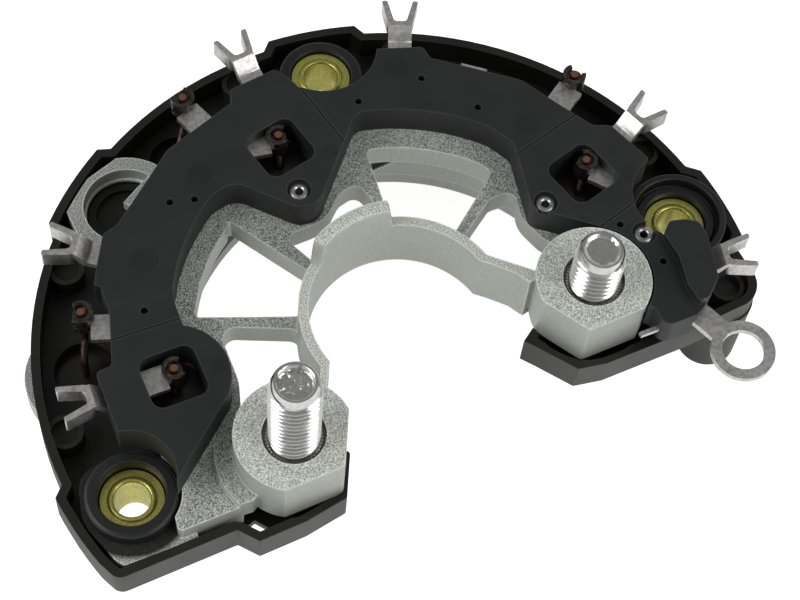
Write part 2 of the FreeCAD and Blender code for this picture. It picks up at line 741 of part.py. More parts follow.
def make_board_blank():
    """Moulded board before the conductors' channels are taken out."""
    body = new_body("board_blank")
    pad(body, [board_outline()], PLATE_TOP, BOARD_TOP)
    rib = outline([
        corner(43.9, -2.5, 1.2),
        corner(42.1, -4.2, 1.2),
        corner(42.5, -8.6, 3.0),
        corner(41.5, -13.4, 3.0),
        corner(41.8, -16.9, 1.0),
        corner(43.6, -16.7, 1.0),
        corner(46.5, -14.2, 1.2),
        corner(48.4, -6.6, 1.2),
        corner(48.2, -4.3, 1.2),
        corner(46.2, -3.1, 1.5),
    ])
    pad(body, [rib], BOARD_TOP, BOARD_TOP + " + sizes.rib_rise")
    skirt = outline([corner(37.4, -12.4), corner(37.4, -15.0), corner(41.4, -15.0), corner(45.0, -12.4)])
    pad(body, [skirt], RIM, PLATE_TOP)
    openings = [box_outline(x, y, size("window_side"), size("window_side"), angle, size("window_corner"))
                for x, y, angle in WINDOWS]
    openings += [circle(size("rivet_radius"), x, y) for x, y in RIVETS]
    pocket(body, openings, BOARD_TOP, PLATE_TOP)
    pocket(body, [circle(size("rivet_recess_radius"), x, y) for x, y in RIVETS],
           BOARD_TOP, BOARD_TOP + " - sizes.rivet_recess")
    pins = [circle(PIN_HOLE_RADIUS, x, y) for x, y in PIN_HOLES]
    pocket(body, pins, BOARD_TOP, BOARD_TOP + " - %g" % PIN_HOLE_DEPTH)
    seams = [strip_outline(Vector(x, y, 0), Vector(end_x, end_y, 0), size("seam_width"))
             for x, y, end_x, end_y in SEAMS]
    pocket(body, seams, BOARD_TOP, BOARD_TOP + " - sizes.seam_depth")
    return body


def beside(angle, along, across):
    """Point at a distance along a bearing and a distance to its left."""
    place = polar(along, angle)
    return place + polar(across, angle + 90)


def pad_upright(body, profile, angle, width):
    """Extrusion of a (distance, height) profile, as wide as given, in the upright plane at a bearing."""
    sketch = body.newObject("Sketcher::SketchObject", "side")
    sketch.AttachmentSupport = [(plane_of(body, "XZ_Plane"), "")]
    sketch.MapMode = "FlatFace"
    turned = FreeCAD.Rotation(Vector(0, 1, 0), angle)
    shift = turned.multVec(Vector(0, 0, -width / 2))
    sketch.AttachmentOffset = FreeCAD.Placement(shift, turned)
    sketch.addGeometry(outline(profile), False)
    feature = body.newObject("PartDesign::Pad", "pad")
    feature.Profile = sketch
    feature.Length = width
    return feature


def fork_arms(angle, reach):
    """Plan of a fork's U: a bottom with two arms that open outwards."""
    half = size("fork_half")
    sheet = size("fork_sheet") / 2
    arm = size("fork_arm")
    spread = math.radians(size("fork_spread"))
    out = arm * math.cos(spread)
    wide = half + arm * math.sin(spread)
    right = [(reach - sheet, half + sheet, 1.3), (reach + out, wide + sheet, 0.25), (reach + out, wide - sheet, 0.25),
             (reach + sheet, half - sheet, 0.7)]
    left = [(along, -across, rounding) for along, across, rounding in reversed(right)]
    items = []
    for along, across, rounding in right + left:
        place = beside(angle, along, across)
        items.append(corner(place.x, place.y, rounding))
    return outline(items)


def add_fork(body, number, start):
    """Adds a fork, whose strip leaves the board, rises in a slope and opens into two arms."""
    angle, reach = FORKS[number]
    sheet = size("fork_sheet") / 2
    top = strip_top + size("fork_rise")
    foot = reach - size("fork_slope")
    pad_upright(body, [
        corner(start, strip_low),
        corner(foot + sheet, strip_low, 1.2),
        corner(reach + sheet, top),
        corner(reach - sheet, top),
        corner(foot - sheet, strip_top, 0.8),
        corner(start, strip_top),
    ], angle, 2 * size("fork_half") + 2 * sheet)
    fork_top = STRIP_TOP + " + sizes.fork_rise"
    pad(body, [fork_arms(angle, reach)], fork_top + " - sizes.fork_height", fork_top)


def add_crimp(body, lead, mouth):
    """Adds a crimp: a sheet curled round a diode's lead, open at one side, with its solder."""
    radius = size("crimp_radius")
    inside = radius - size("crimp_wall")
    half = size("crimp_mouth")
    low = STRIP_TOP + " - sizes.crimp_drop"
    sheet = outline([turn(lead, radius, mouth + half, mouth + 360 - half),
                     turn(lead, inside, mouth + 360 - half, mouth + half)])
    pad(body, [sheet], low, STRIP_TOP + " + sizes.crimp_rise")
    pad(body, [circle(inside + 0.1, lead.x, lead.y)], low, STRIP_TOP + " + sizes.solder_rise")


def make_phase_conductor(number):
    """Stamped conductor of one phase: bus bar, forks and the crimps of its two diodes."""
    body = new_body("phase_conductor_%d" % (number + 1))
    middle = size("bus_radius")
    half = size("bus_width") / 2
    first, last = BUS_SPANS[number]
    bar = outline([turn(ORIGIN, middle + half, first, last), turn(ORIGIN, middle - half, last, first)])
    pad(body, [bar], STRIP_LOW, STRIP_TOP)
    for fork in PHASE_FORKS[number]:
        add_fork(body, fork, middle - half)

    # Outer crimp, on the negative diode's lead
    lead = outer_crimps[number]
    angle, distance, strip = OUTER_CRIMPS[number]
    reach = polar(distance - 1.4, strip)
    pad(body, [strip_outline(polar(middle, strip), reach, size("strip_width"))], STRIP_LOW, STRIP_TOP)
    add_crimp(body, lead, angle)

    # Inner crimp, on the positive diode's lead, in the board's window
    inner = inner_crimps[number]
    side = INNER_CRIMPS[number][2]
    back = polar(1.4, side, inner.x, inner.y)
    outside = polar(size("window_side") * 0.5 + 1.6, side, inner.x, inner.y)
    pad(body, [strip_outline(back, outside, size("strip_width"))], STRIP_LOW, STRIP_TOP)
    link = polar(middle, bearing(outside, ORIGIN))
    if (link - outside).Length > 0.5:
        pad(body, [strip_outline(outside, link, size("bus_width"))], STRIP_LOW, STRIP_TOP)
    add_crimp(body, inner, side + 180)
    bores = [circle(size("lead_radius"), place.x, place.y) for place in (lead, inner)]
    pocket(body, bores, STRIP_TOP + " + sizes.crimp_rise", STRIP_TOP + " - sizes.crimp_drop")
    if number == 2:
        start, end, edge = BARE_BUS
        bare = outline([turn(ORIGIN, edge, end, start), turn(ORIGIN, middle, start, end)])
        pad(body, [bare], STRIP_LOW, STRIP_TOP)
    return body


def make_tap_conductor():
    """Stamped conductor at the board's right-hand end: a fork and the ring lug of the winding tap."""
    body = new_body("tap_conductor")
    angle = FORKS[TAP_FORK][0]
    add_fork(body, TAP_FORK, 43.0)
    eye = Vector(45.8, -25.3, 0)
    knee = Vector(42.5, -15.8, 0)
    pad(body, [strip_outline(polar(44.6, angle), knee, size("bus_width") + 0.6)], STRIP_LOW, STRIP_TOP)
    root = Vector(42.2, -16.6, 0)
    pad(body, [strip_outline(root, eye, size("strip_width") - 0.3)], STRIP_LOW, STRIP_TOP)
    pad(body, [circle(size("lug_radius"), eye.x, eye.y)], STRIP_LOW, STRIP_TOP)
    pocket(body, [circle(size("lug_hole_radius"), eye.x, eye.y)], STRIP_TOP, STRIP_LOW)
    return body


def make_bush(number):
    """Flanged steel bush with a rolled upper edge."""
    place = bush_places[number]
    bore = size("bush_bore_radius")
    outside = bore + size("bush_wall")
    top = size("tray_height")
    flange = size("bush_flange")
    lip = size("bush_lip")
    return revolved("bush_%d" % (number + 1), [
        (bore, 0), (outside, 0), (outside, top - flange), (size("bush_flange_radius"), top - flange),
        (size("bush_flange_radius"), top), (outside + lip, top), (outside, top + lip), (bore + 0.2, top + lip),
        (bore, top),
    ], place.x, place.y)


def make_sleeve(number):
    """Insulating sleeve that carries a bush."""
    place = bush_places[number]
    bore = size("bush_bore_radius") + size("bush_wall") + gap
    seat = size("tray_height") - size("bush_flange")
    rise = size("tray_height") + size("sleeve_rise_%d" % (number + 1))
    tube = size("sleeve_tube_radius")
    collar = size("sleeve_radius")
    recess = size("bush_flange_radius") + gap
    low = size("ear_top") if number else size("ear_bottom")
    profile = [(bore, 0), (tube, 0), (tube, low), (collar, low)]
    if number == 2:
        wide = size("outer_collar_radius")
        high = size("tray_height") + size("outer_collar_rise")
        groove = low + 1.0
        profile = [(bore, 0), (tube, 0), (tube, low), (wide, low), (wide, high), (wide - 1.1, high),
                   (wide - 1.1, groove), (collar - 0.6, groove), (collar - 0.6, rise)]
    else:
        profile += [(collar, rise - 0.4), (collar - 0.4, rise)]
    profile += [(recess, rise), (recess, seat), (bore, seat)]
    return revolved("insulating_sleeve_%d" % (number + 1), profile, place.x, place.y)


def make_diode(kind, number):
    """Press-fit diode: cup, seal and lead."""
    if kind == "negative":
        place = negative_places[number]
        crimp = outer_crimps[number]
        low = -size("negative_thickness") - size("cup_drop")
    else:
        place = positive_places[number]
        crimp = inner_crimps[number]
        low = plate_top - 0.4 - size("diode_height")
    radius = size("diode_radius")
    top = low + size("diode_height")
    wall = size("diode_wall")
    depth = size("seal_depth")
    head = size("lead_head_radius")
    head_low = top - depth
    head_top = head_low + size("lead_head")
    lead = size("lead_radius")
    name = "%s_diode_%%s_%d" % (kind, number + 1)
    revolved(name % "cup", [
        (0, low), (radius - 0.4, low), (radius, low + 0.4), (radius, top - 0.3), (radius - 0.3, top),
        (radius - wall, top), (radius - wall, head_low), (0, head_low),
    ], place.x, place.y)
    revolved(name % "seal", [
        (head, head_low), (radius - wall, head_low), (radius - wall, top - 0.2), (lead, top + 0.2),
        (lead, head_top), (head, head_top),
    ], place.x, place.y)
    end = strip_top + size("crimp_rise")
    start = Vector(0, 0, head_top)
    shift = crimp - place
    crimp_low = strip_top - size("crimp_drop")
    rise = 0.6 * shift.Length
    bend_low = (top + 0.2 + crimp_low - rise) / 2
    low_bend = Vector(0, 0, bend_low)
    high_bend = Vector(shift.x, shift.y, bend_low + rise)
    finish = Vector(shift.x, shift.y, end)
    stem = lead_wire([start, low_bend, high_bend, finish], lead, size("%s_lead_bend" % kind))
    nail = Part.makeCylinder(head, size("lead_head"), Vector(0, 0, head_low))
    feature = doc.addObject("Part::Feature", name % "lead")
    feature.Label = name % "lead"
    feature.Shape = nail.fuse(stem).removeSplitter()
    feature.Placement.Base = Vector(place.x, place.y, 0)


def lead_wire(points, radius, bend):
    """Round wire through points, with its bends as tangent arcs."""
    edges = []
    here = points[0]
    for index in range(1, len(points) - 1):
        before = points[index - 1] - points[index]
        after = points[index + 1] - points[index]
        if before.getAngle(after) > math.pi - 0.02:
            continue
        half = before.getAngle(after) / 2
        reach = bend / math.tan(half)
        start = points[index] + before.normalize() * reach
        stop = points[index] + after.normalize() * reach
        middle = points[index] + (before + after).normalize() * (bend / math.sin(half) - bend)
        edges += [Part.LineSegment(here, start).toShape(), Part.Arc(start, middle, stop).toShape()]
        here = stop
    edges.append(Part.LineSegment(here, points[-1]).toShape())
    path = Part.Wire(edges)
    section = Part.Wire(Part.makeCircle(radius, points[0], Vector(0, 0, 1)))
    return path.makePipeShell([section], True, True)


def make_stud(label, place, rise):
    """Screwed stud pressed into its boss by a knurled shoulder."""
    foot = size("plate_bottom")
    head = size("stud_head")
    top = size("boss_top") + rise
    knurl_top = size("boss_top") - size("counterbore_depth") + 1.0
    thread = size("thread_radius")
    chamfer = size("stud_chamfer")
    return revolved(label, [
        (0, foot), (size("stud_head_radius"), foot), (size("stud_head_radius"), foot + head),
        (size("knurl_radius"), foot + head), (size("knurl_radius"), knurl_top), (thread, knurl_top + 0.2),
        (thread, top - chamfer), (thread - chamfer, top), (0, top),
    ], place.x, place.y)


def make_rivets():
    """Three hollow rivets that clamp the board to the positive heat sink."""
    bore = size("rivet_bore_radius")
    outside = size("rivet_radius")
    head = size("rivet_head_radius")
    high = board_top - size("rivet_recess")
    low = size("plate_bottom")
    thick = size("rivet_head")
    solids = []
    for x, y in RIVETS:
        profile = [
            (bore, low - thick), (head, low - thick), (head, low), (outside, low), (outside, high),
            (head, high), (head, high + thick * 0.6), (bore + 0.3, high + thick), (bore, high + thick * 0.6),
        ]
        points = [Vector(radius, 0, height) for radius, height in profile]
        face = Part.Face(Part.makePolygon(points + [points[0]]))
        ring = face.revolve(Vector(0, 0, 0), Vector(0, 0, 1), 360)
        ring.translate(Vector(x, y, 0))
        solids.append(ring)
    feature = doc.addObject("Part::Feature", "hollow_rivets")
    feature.Label = "hollow_rivets"
    feature.Shape = Part.makeCompound(solids)
    return feature


make_negative_heat_sink()
make_tray()
make_positive_heat_sink()
blank = make_board_blank()
conductors = [make_phase_conductor(number) for number in range(3)]
conductors.append(make_tap_conductor())
for number in range(3):
    make_bush(number)
    make_sleeve(number)
    make_diode("negative", number)
    make_diode("positive", number)
make_stud("long_stud", left_boss, size("long_stud_rise"))
make_stud("short_stud", right_boss, size("short_stud_rise"))
make_rivets()
inserts = doc.addObject("Part::MultiFuse", "inserts")
inserts.Shapes = conductors
board = doc.addObject("Part::Cut", "terminal_board")
board.Label = "terminal_board"
board.Base = blank
board.Tool = inserts
doc.recompute()

NOT_PIECES = ("board_blank", "inserts")


def is_piece(item):
    """True for the document objects that are sub-parts."""
    if item.Label in NOT_PIECES:
        return False
    return item.isDerivedFrom("PartDesign::Body") or item.TypeId in ("Part::Cut", "Part::Feature")


pieces = [item for item in doc.Objects if is_piece(item)]
for item in doc.Objects:
    if "Invalid" in item.State or "Error" in item.State:
        raise RuntimeError("%s failed" % item.Label)
for piece in pieces:
    if piece.Shape.isNull() or not piece.Shape.isValid():
        raise RuntimeError("%s has no valid shape" % piece.Label)
os.makedirs("parts", exist_ok=True)
for piece in pieces:
    piece.Shape.exportStep("parts/%s.step" % piece.Label)
    print(piece.Label, len(piece.Shape.Solids), "solids", round(piece.Shape.Volume, 1), "mm3")
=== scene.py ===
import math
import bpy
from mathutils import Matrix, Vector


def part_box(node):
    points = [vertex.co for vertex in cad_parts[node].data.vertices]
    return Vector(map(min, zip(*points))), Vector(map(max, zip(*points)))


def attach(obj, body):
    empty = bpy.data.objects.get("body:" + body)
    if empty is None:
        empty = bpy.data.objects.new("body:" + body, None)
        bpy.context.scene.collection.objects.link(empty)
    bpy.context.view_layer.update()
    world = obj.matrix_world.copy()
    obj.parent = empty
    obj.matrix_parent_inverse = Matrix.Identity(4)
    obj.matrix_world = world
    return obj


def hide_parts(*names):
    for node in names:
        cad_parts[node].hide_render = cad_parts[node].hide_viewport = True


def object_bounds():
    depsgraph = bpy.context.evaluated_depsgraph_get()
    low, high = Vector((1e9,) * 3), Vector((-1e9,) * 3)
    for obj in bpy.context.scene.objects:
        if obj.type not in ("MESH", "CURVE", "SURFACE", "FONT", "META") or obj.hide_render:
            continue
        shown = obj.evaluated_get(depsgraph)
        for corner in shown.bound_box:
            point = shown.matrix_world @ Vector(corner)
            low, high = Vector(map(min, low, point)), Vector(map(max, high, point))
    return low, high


bl_info = {
    "name": "Alternator rectifier",
    "version": (1, 0, 0),
    "blender": (4, 5, 0),
    "location": "3D View > Sidebar > Rectifier",
    "description": "Builds the visible finish of a horseshoe alternator rectifier around its solid model",
    "category": "Object",
}

import bmesh
import bpy
from mathutils import Matrix, Vector, noise

MM = 0.001
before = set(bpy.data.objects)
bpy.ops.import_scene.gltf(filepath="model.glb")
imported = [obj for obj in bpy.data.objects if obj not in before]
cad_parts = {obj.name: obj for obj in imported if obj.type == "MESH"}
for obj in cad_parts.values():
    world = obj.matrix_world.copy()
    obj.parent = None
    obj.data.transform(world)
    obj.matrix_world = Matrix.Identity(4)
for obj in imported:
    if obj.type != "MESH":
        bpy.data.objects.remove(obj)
CAD_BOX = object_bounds()

# Heights that the finish is built on
RIM_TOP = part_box("base_tray")[1].z
BOARD_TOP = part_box("hollow_rivets")[1].z + 0.4 * MM
BOSS_TOP = 15.7 * MM
LEAD_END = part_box("positive_diode_lead_1")[1].z

# Distance from a lead's cut end within which the strip round it is covered with solder
CRIMP_REACH = 2.35 * MM

# Angle between two faces past which their edge counts as sharp, and is rounded where a piece's edges are;
# angle below which faces count as one, and distance below which points do
SHARP_ANGLE = math.radians(34)
FLAT_ANGLE = math.radians(0.4)
WELD = 0.0005 * MM

# Parts of a turned piece's circle, on bushes and studs and on the small floors of the guide tubes
ROUND_PARTS = 64
FLOOR_PARTS = 32

# Ear of the positive heat sink under the left sleeve: its top, and the distances from the sleeve's axis
# between which painted shade, with a painted reflection of the dark sleeve, covers the casting's rounded
# foot and fades
EAR_TOP = 5.8 * MM
EAR_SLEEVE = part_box("bush_2")[0].lerp(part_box("bush_2")[1], 0.5)
EAR_SHADE_FULL = 8.6 * MM
EAR_SHADE_END = 9.5 * MM

# Feet of the bushes' tubes, which reach lower in the photo than in the solids: radii and heights
FOOT_BORE = 2.74 * MM
FOOT_OUTSIDE = 3.34 * MM
FOOT_LOW = -1.6 * MM
FOOT_HIGH = 0.3 * MM

# Raised stretch of the inner ring: radii of its walls and the ring's, heights, and the bearings between
# which it rises, stays level and drops
STRETCH_WALLS = (14.47 * MM, 16.74 * MM)
RING_WALLS = (14.54 * MM, 16.08 * MM)
STRETCH_TOP = 19.05 * MM
STRETCH_FOOT = 14.6 * MM
STRETCH_BOTTOM = 13.75 * MM
STRETCH_ROOT = 10.0 * MM
STRETCH_TAPER = 0.15 * MM
STRETCH_BEARINGS = (72.4, 76.4, 121.4, 131.5)
STRETCH_ROUNDING = 0.5 * MM
STRETCH_STEPS = 180

# Upstanding inner rim of the negative heat sink, seen through the largest window: radii, heights and the
# bearings of its ends at the bottom and the top
RIM_WALLS = (32.95 * MM, 33.6 * MM)
RIM_HEIGHTS = (-0.3 * MM, 4.9 * MM)
RIM_ENDS = ((34.0, 77.5), (34.0, 66.0))
RIM_STEPS = 48

# Ejector marks on the board's face: x, y and radius in millimetres
EJECTOR_MARKS = (
    (16.2, 40.4, 2.1), (0.1, 29.4, 1.4), (-20.5, 33.1, 2.1), (-33.6, 22.0, 2.2),
    (-29.8, 0.9, 1.4), (31.3, 22.8, 2.2), (31.9, 3.0, 1.2), (43.2, 7.9, 1.9),
)

# Guide tubes of the tray: bearings, distance from the shaft, bore, and their floors' height and thickness
TUBE_BEARINGS = (175.6, 145.3, 96.5, 66.9, 18.0, -12.0)
TUBE_PITCH = 53.6 * MM
TUBE_BORE = 2.12 * MM
TUBE_FLOOR = 3.9 * MM
TUBE_FLOOR_DEPTH = 0.4 * MM

# Bare bars in the board's outer side and beside the short stud: places, widths and heights
SIDE_BAR_PITCH = 45.45 * MM
SIDE_BAR_BEARINGS = (49.2, 54.6)
SIDE_BAR_WIDTH = 0.9 * MM
SIDE_BAR_HEIGHTS = (BOARD_TOP - 1.2 * MM, BOARD_TOP - 0.35 * MM)
LOW_BAR_ENDS = (Vector((32.5, -16.7, 0)) * MM, Vector((36.2, -16.7, 0)) * MM)
LOW_BAR_WIDTH = 0.7 * MM
LOW_BAR_HEIGHTS = (11.9 * MM, 12.7 * MM)

# Studs: depth and roughness of each recessed end, then radii, lengths and depths that both share
STUD_ENDS = (("long_stud", 0.9 * MM, 0.34 * MM), ("short_stud", 0.5 * MM, 0.12 * MM))
STUD_CREST = 3.95 * MM
STUD_SHANK = 4.05 * MM
STUD_HEAD = 5.6 * MM
STUD_HEAD_HEIGHT = 1.2 * MM
STUD_FOOT = BOSS_TOP - 1.2 * MM
STUD_CHAMFER = 0.9 * MM
COLLAR_LENGTH = 1.7 * MM
COLLAR_STEP = 0.45 * MM
THREAD_CHAMFER = 0.5 * MM
KNURL_RADIUS = 4.12 * MM
KNURL_TOOTH = 0.20 * MM
KNURL_HEIGHT = 1.5 * MM
KNURL_DROP = 0.45 * MM

# Recessed end of a stud: share of the end's radius that the recess takes, rings across it, share of that
# radius within which it is rough, and the size of its lumps
RECESS_SHARE = 0.76
RECESS_RINGS = 8
ROUGH_SHARE = 0.8
ROUGH_GRAIN = 0.75 * MM

# Thread's form: parts of a turn, rows across one pitch, and the shares of half a pitch that its flat root
# and its flank take
TURN_PARTS = 48
PITCH_ROWS = 9
ROOT_SHARE = 0.16
FLANK_SHARE = 0.7

# Blasted casting: size of the grain, heights between which the grain of the plate, darkened by painted
# shade, turns into the pale one of ring and bosses, shares of the colour in the pits and on the peaks at
# both heights, and on walls
CASTING_GRAIN = 0.20 * MM
PLATE_SHADE_HEIGHTS = (10.2 * MM, 14.2 * MM)
PIT_SHARES = (0.16, 0.46)
PEAK_SHARES = (1.24, 1.60)
WALL_SHARES = (0.72, 0.98)

# Mouldings: size and depth of the grain, size of the specks, and the range of y in which painted light
# greys the front walls
MOULDING_GRAIN = 0.22 * MM
MOULDING_RELIEF = 0.02 * MM
MOULDING_SPECK = 0.45 * MM
PAINTED_FRONT_LIGHT_RANGE = (-2 * MM, -14 * MM)

# Floor and world: reach of the floor, and light to the camera, to a reflection and to the object
FLOOR_REACH = 3.0
FLOOR_GAP = 0.05 * MM
FLOOR_TO_CAMERA = 0.86
FLOOR_TO_REFLECTION = 0.38
AMBIENT = 0.45
REFLECTED_LOW = 0.80
REFLECTED_DROP = 0.56

# Lamps: name, place in metres and power in watts of each, and the side of both squares in metres
LAMPS = (("left lamp", (-0.56, 0.08, 0.44), 2.3), ("right lamp", (0.38, -0.42, 0.44), 2.0))
LAMP_SIDE = 0.42

# Camera: lens in millimetres, angles, distance, target in the rim's plane, and turn about the shaft
CAMERA_LENS = 90.9
CAMERA_ELEVATION = math.radians(61.89)
CAMERA_ROLL = math.radians(7.23)
CAMERA_DISTANCE = 317.5 * MM
CAMERA_TARGET = Vector((-0.739, 5.860, 0)) * MM
CAMERA_TURN = math.radians(-30)


def polar(radius, bearing):
    """Point on the ground at a distance and bearing from the shaft."""
    return Vector((radius * math.cos(math.radians(bearing)), radius * math.sin(math.radians(bearing)), 0))


def box_centre(node):
    """Middle of a solid's box."""
    low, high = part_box(node)
    return (low + high) / 2


def lead_end(node):
    """Middle of a lead's cut end."""
    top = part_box(node)[1].z
    points = [vertex.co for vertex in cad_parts[node].data.vertices if vertex.co.z > top - 0.05 * MM]
    return sum(points, Vector()) / len(points)


# Sums on node sockets


class Value:
    """A socket of a node tree that takes part in sums as a number does."""

    def __init__(self, tree, socket):
        self.tree = tree
        self.socket = socket

    def sum(self, operation, *terms):
        """Result of a Math node on this value and others."""
        inputs = dict(enumerate((self,) + terms))
        return self.tree.node("ShaderNodeMath", {"operation": operation}, inputs)

    def __add__(self, other):
        return self.sum("ADD", other)

    def __radd__(self, other):
        return self.sum("ADD", other)

    def __sub__(self, other):
        return self.sum("SUBTRACT", other)

    def __rsub__(self, other):
        return self.tree.number(other).sum("SUBTRACT", self)

    def __mul__(self, other):
        return self.sum("MULTIPLY", other)

    def __rmul__(self, other):
        return self.sum("MULTIPLY", other)

    def __truediv__(self, other):
        return self.sum("DIVIDE", other)

    def at_least(self, other):
        return self.sum("MAXIMUM", other)

    def at_most(self, other):
        return self.sum("MINIMUM", other)


class Tree:
    """A node tree that is written as expressions."""

    def __init__(self, nodes_tree):
        self.nodes_tree = nodes_tree

    def node(self, kind, settings=None, inputs=None, output=0):
        """Adds a node with its settings and the values or links of its sockets."""
        node = self.nodes_tree.nodes.new(kind)
        for name, setting in (settings or {}).items():
            setattr(node, name, setting)
        for key, value in (inputs or {}).items():
            socket = node.inputs[key]
            if isinstance(value, Value):
                self.nodes_tree.links.new(value.socket, socket)
            else:
                socket.default_value = value
        return Value(self, node.outputs[output])

    def number(self, value):
        return self.node("ShaderNodeMath", {"operation": "ADD"}, {0: value, 1: 0.0})

    def vector(self, x, y, z):
        return self.node("ShaderNodeCombineXYZ", {}, {"X": x, "Y": y, "Z": z})

    def mix(self, share, first, second):
        """Colour between two others."""
        return self.node("ShaderNodeMix", {"data_type": "RGBA"}, {0: share, 6: first, 7: second}, 2)

    def ramp(self, value, low, high):
        """Share that rises from 0 at low to 1 at high."""
        inputs = {"Value": value, "From Min": low, "From Max": high}
        return self.node("ShaderNodeMapRange", {"clamp": True}, inputs)

    def grain(self, position, size, detail=2.0):
        """Noise whose patches are about the given size in metres."""
        inputs = {"Vector": position, "Scale": 1 / size, "Detail": detail}
        return self.node("ShaderNodeTexNoise", {"noise_dimensions": "3D"}, inputs)

    def distance(self, position, point):
        """Distance of a position from a fixed point."""
        return self.node("ShaderNodeVectorMath", {"operation": "DISTANCE"}, {0: position, 1: point}, 1)


class Finish(Tree):
    """A material with one principled shader."""

    def __init__(self, name):
        self.material = bpy.data.materials.new(name)
        self.material.use_nodes = True
        super().__init__(self.material.node_tree)
        self.shader = self.nodes_tree.nodes["Principled BSDF"]
        coordinates = self.nodes_tree.nodes.new("ShaderNodeTexCoord")
        self.position = Value(self, coordinates.outputs["Object"])
        geometry = self.nodes_tree.nodes.new("ShaderNodeNewGeometry")
        self.normal = Value(self, geometry.outputs["Normal"])

    def set(self, **values):
        """Sets or links the shader's sockets, named with underscores for spaces."""
        for name, value in values.items():
            socket = self.shader.inputs[name.replace("_", " ")]
            if isinstance(value, Value):
                self.nodes_tree.links.new(value.socket, socket)
            else:
                socket.default_value = value
        return self

    def upward(self):
        """1 on faces that look up, 0 on walls and below."""
        split = self.node("ShaderNodeSeparateXYZ", {}, {0: self.normal}, 2)
        return self.ramp(split, 0.55, 0.95)

    def height(self):
        return self.node("ShaderNodeSeparateXYZ", {}, {0: self.position}, 2)

    def bump(self, height, distance, strength=1.0):
        inputs = {"Strength": strength, "Distance": distance, "Height": height}
        return self.node("ShaderNodeBump", {}, inputs)

    def edges(self, radius):
        """1 at sharp edges, 0 on open faces."""
        rounded = self.node("ShaderNodeBevel", {"samples": 6}, {"Radius": radius})
        inputs = {0: rounded, 1: self.normal}
        match = self.node("ShaderNodeVectorMath", {"operation": "DOT_PRODUCT"}, inputs, 1)
        return self.ramp(match, 0.995, 0.86)


def rgba(colour, share=1.0):
    """Colour with alpha, darkened or lightened by a share."""
    return (colour[0] * share, colour[1] * share, colour[2] * share, 1.0)


class RectifierFinish(bpy.types.PropertyGroup):
    """Colours and finishes of the rectifier."""

    casting: bpy.props.FloatVectorProperty(
        name="Casting", description="Blasted aluminium of the heat sinks", subtype="COLOR",
        default=(0.60, 0.62, 0.565), min=0.0, max=1.0)
    board: bpy.props.FloatVectorProperty(
        name="Board", description="Moulded terminal board", subtype="COLOR",
        default=(0.0105, 0.0120, 0.0120), min=0.0, max=1.0)
    tray: bpy.props.FloatVectorProperty(
        name="Tray", description="Moulded tray and rim", subtype="COLOR",
        default=(0.0048, 0.0050, 0.0040), min=0.0, max=1.0)
    sleeve: bpy.props.FloatVectorProperty(
        name="Sleeves", description="Insulating sleeves of the bushes", subtype="COLOR",
        default=(0.0090, 0.0095, 0.0095), min=0.0, max=1.0)
    chromate: bpy.props.FloatVectorProperty(
        name="Chromate", description="Yellow chromate of the bushes", subtype="COLOR",
        default=(0.74, 0.70, 0.18), min=0.0, max=1.0)
    tin: bpy.props.FloatVectorProperty(
        name="Tin", description="Tinned strip of forks and lug", subtype="COLOR",
        default=(0.76, 0.755, 0.72), min=0.0, max=1.0)
    zinc: bpy.props.FloatVectorProperty(
        name="Zinc", description="Plating of the studs", subtype="COLOR",
        default=(0.74, 0.74, 0.72), min=0.0, max=1.0)
    solder: bpy.props.FloatVectorProperty(
        name="Solder", description="Dull solder on the crimps", subtype="COLOR",
        default=(0.080, 0.069, 0.057), min=0.0, max=1.0)
    copper: bpy.props.FloatVectorProperty(
        name="Copper", description="Ends of the diodes' leads", subtype="COLOR",
        default=(0.22, 0.095, 0.058), min=0.0, max=1.0)
    resin: bpy.props.FloatVectorProperty(
        name="Resin", description="Seal in the diodes' cups", subtype="COLOR",
        default=(0.012, 0.009, 0.008), min=0.0, max=1.0)


class RectifierSizes(bpy.types.PropertyGroup):
    """Sizes of the details that the solid model leaves out."""

    casting_edge: bpy.props.FloatProperty(
        name="Casting edge", description="Rounding of the cast heat sinks' edges",
        default=0.40 * MM, min=0.0, max=1.0 * MM, unit="LENGTH")
    moulding_edge: bpy.props.FloatProperty(
        name="Moulding edge", description="Rounding of the mouldings' edges",
        default=0.28 * MM, min=0.0, max=1.0 * MM, unit="LENGTH")
    strip_edge: bpy.props.FloatProperty(
        name="Strip edge", description="Rounding of the stamped strips' edges",
        default=0.14 * MM, min=0.0, max=0.4 * MM, unit="LENGTH")
    thread_pitch: bpy.props.FloatProperty(
        name="Thread pitch", description="Pitch of the studs' thread",
        default=1.25 * MM, min=0.5 * MM, max=2.0 * MM, unit="LENGTH")
    thread_depth: bpy.props.FloatProperty(
        name="Thread depth", description="Depth of the studs' thread",
        default=0.72 * MM, min=0.2 * MM, max=1.0 * MM, unit="LENGTH")
    knurl_teeth: bpy.props.IntProperty(
        name="Knurl teeth", description="Teeth of the serration round a stud's foot",
        default=48, min=12, max=90)


# Finishes

materials = {}


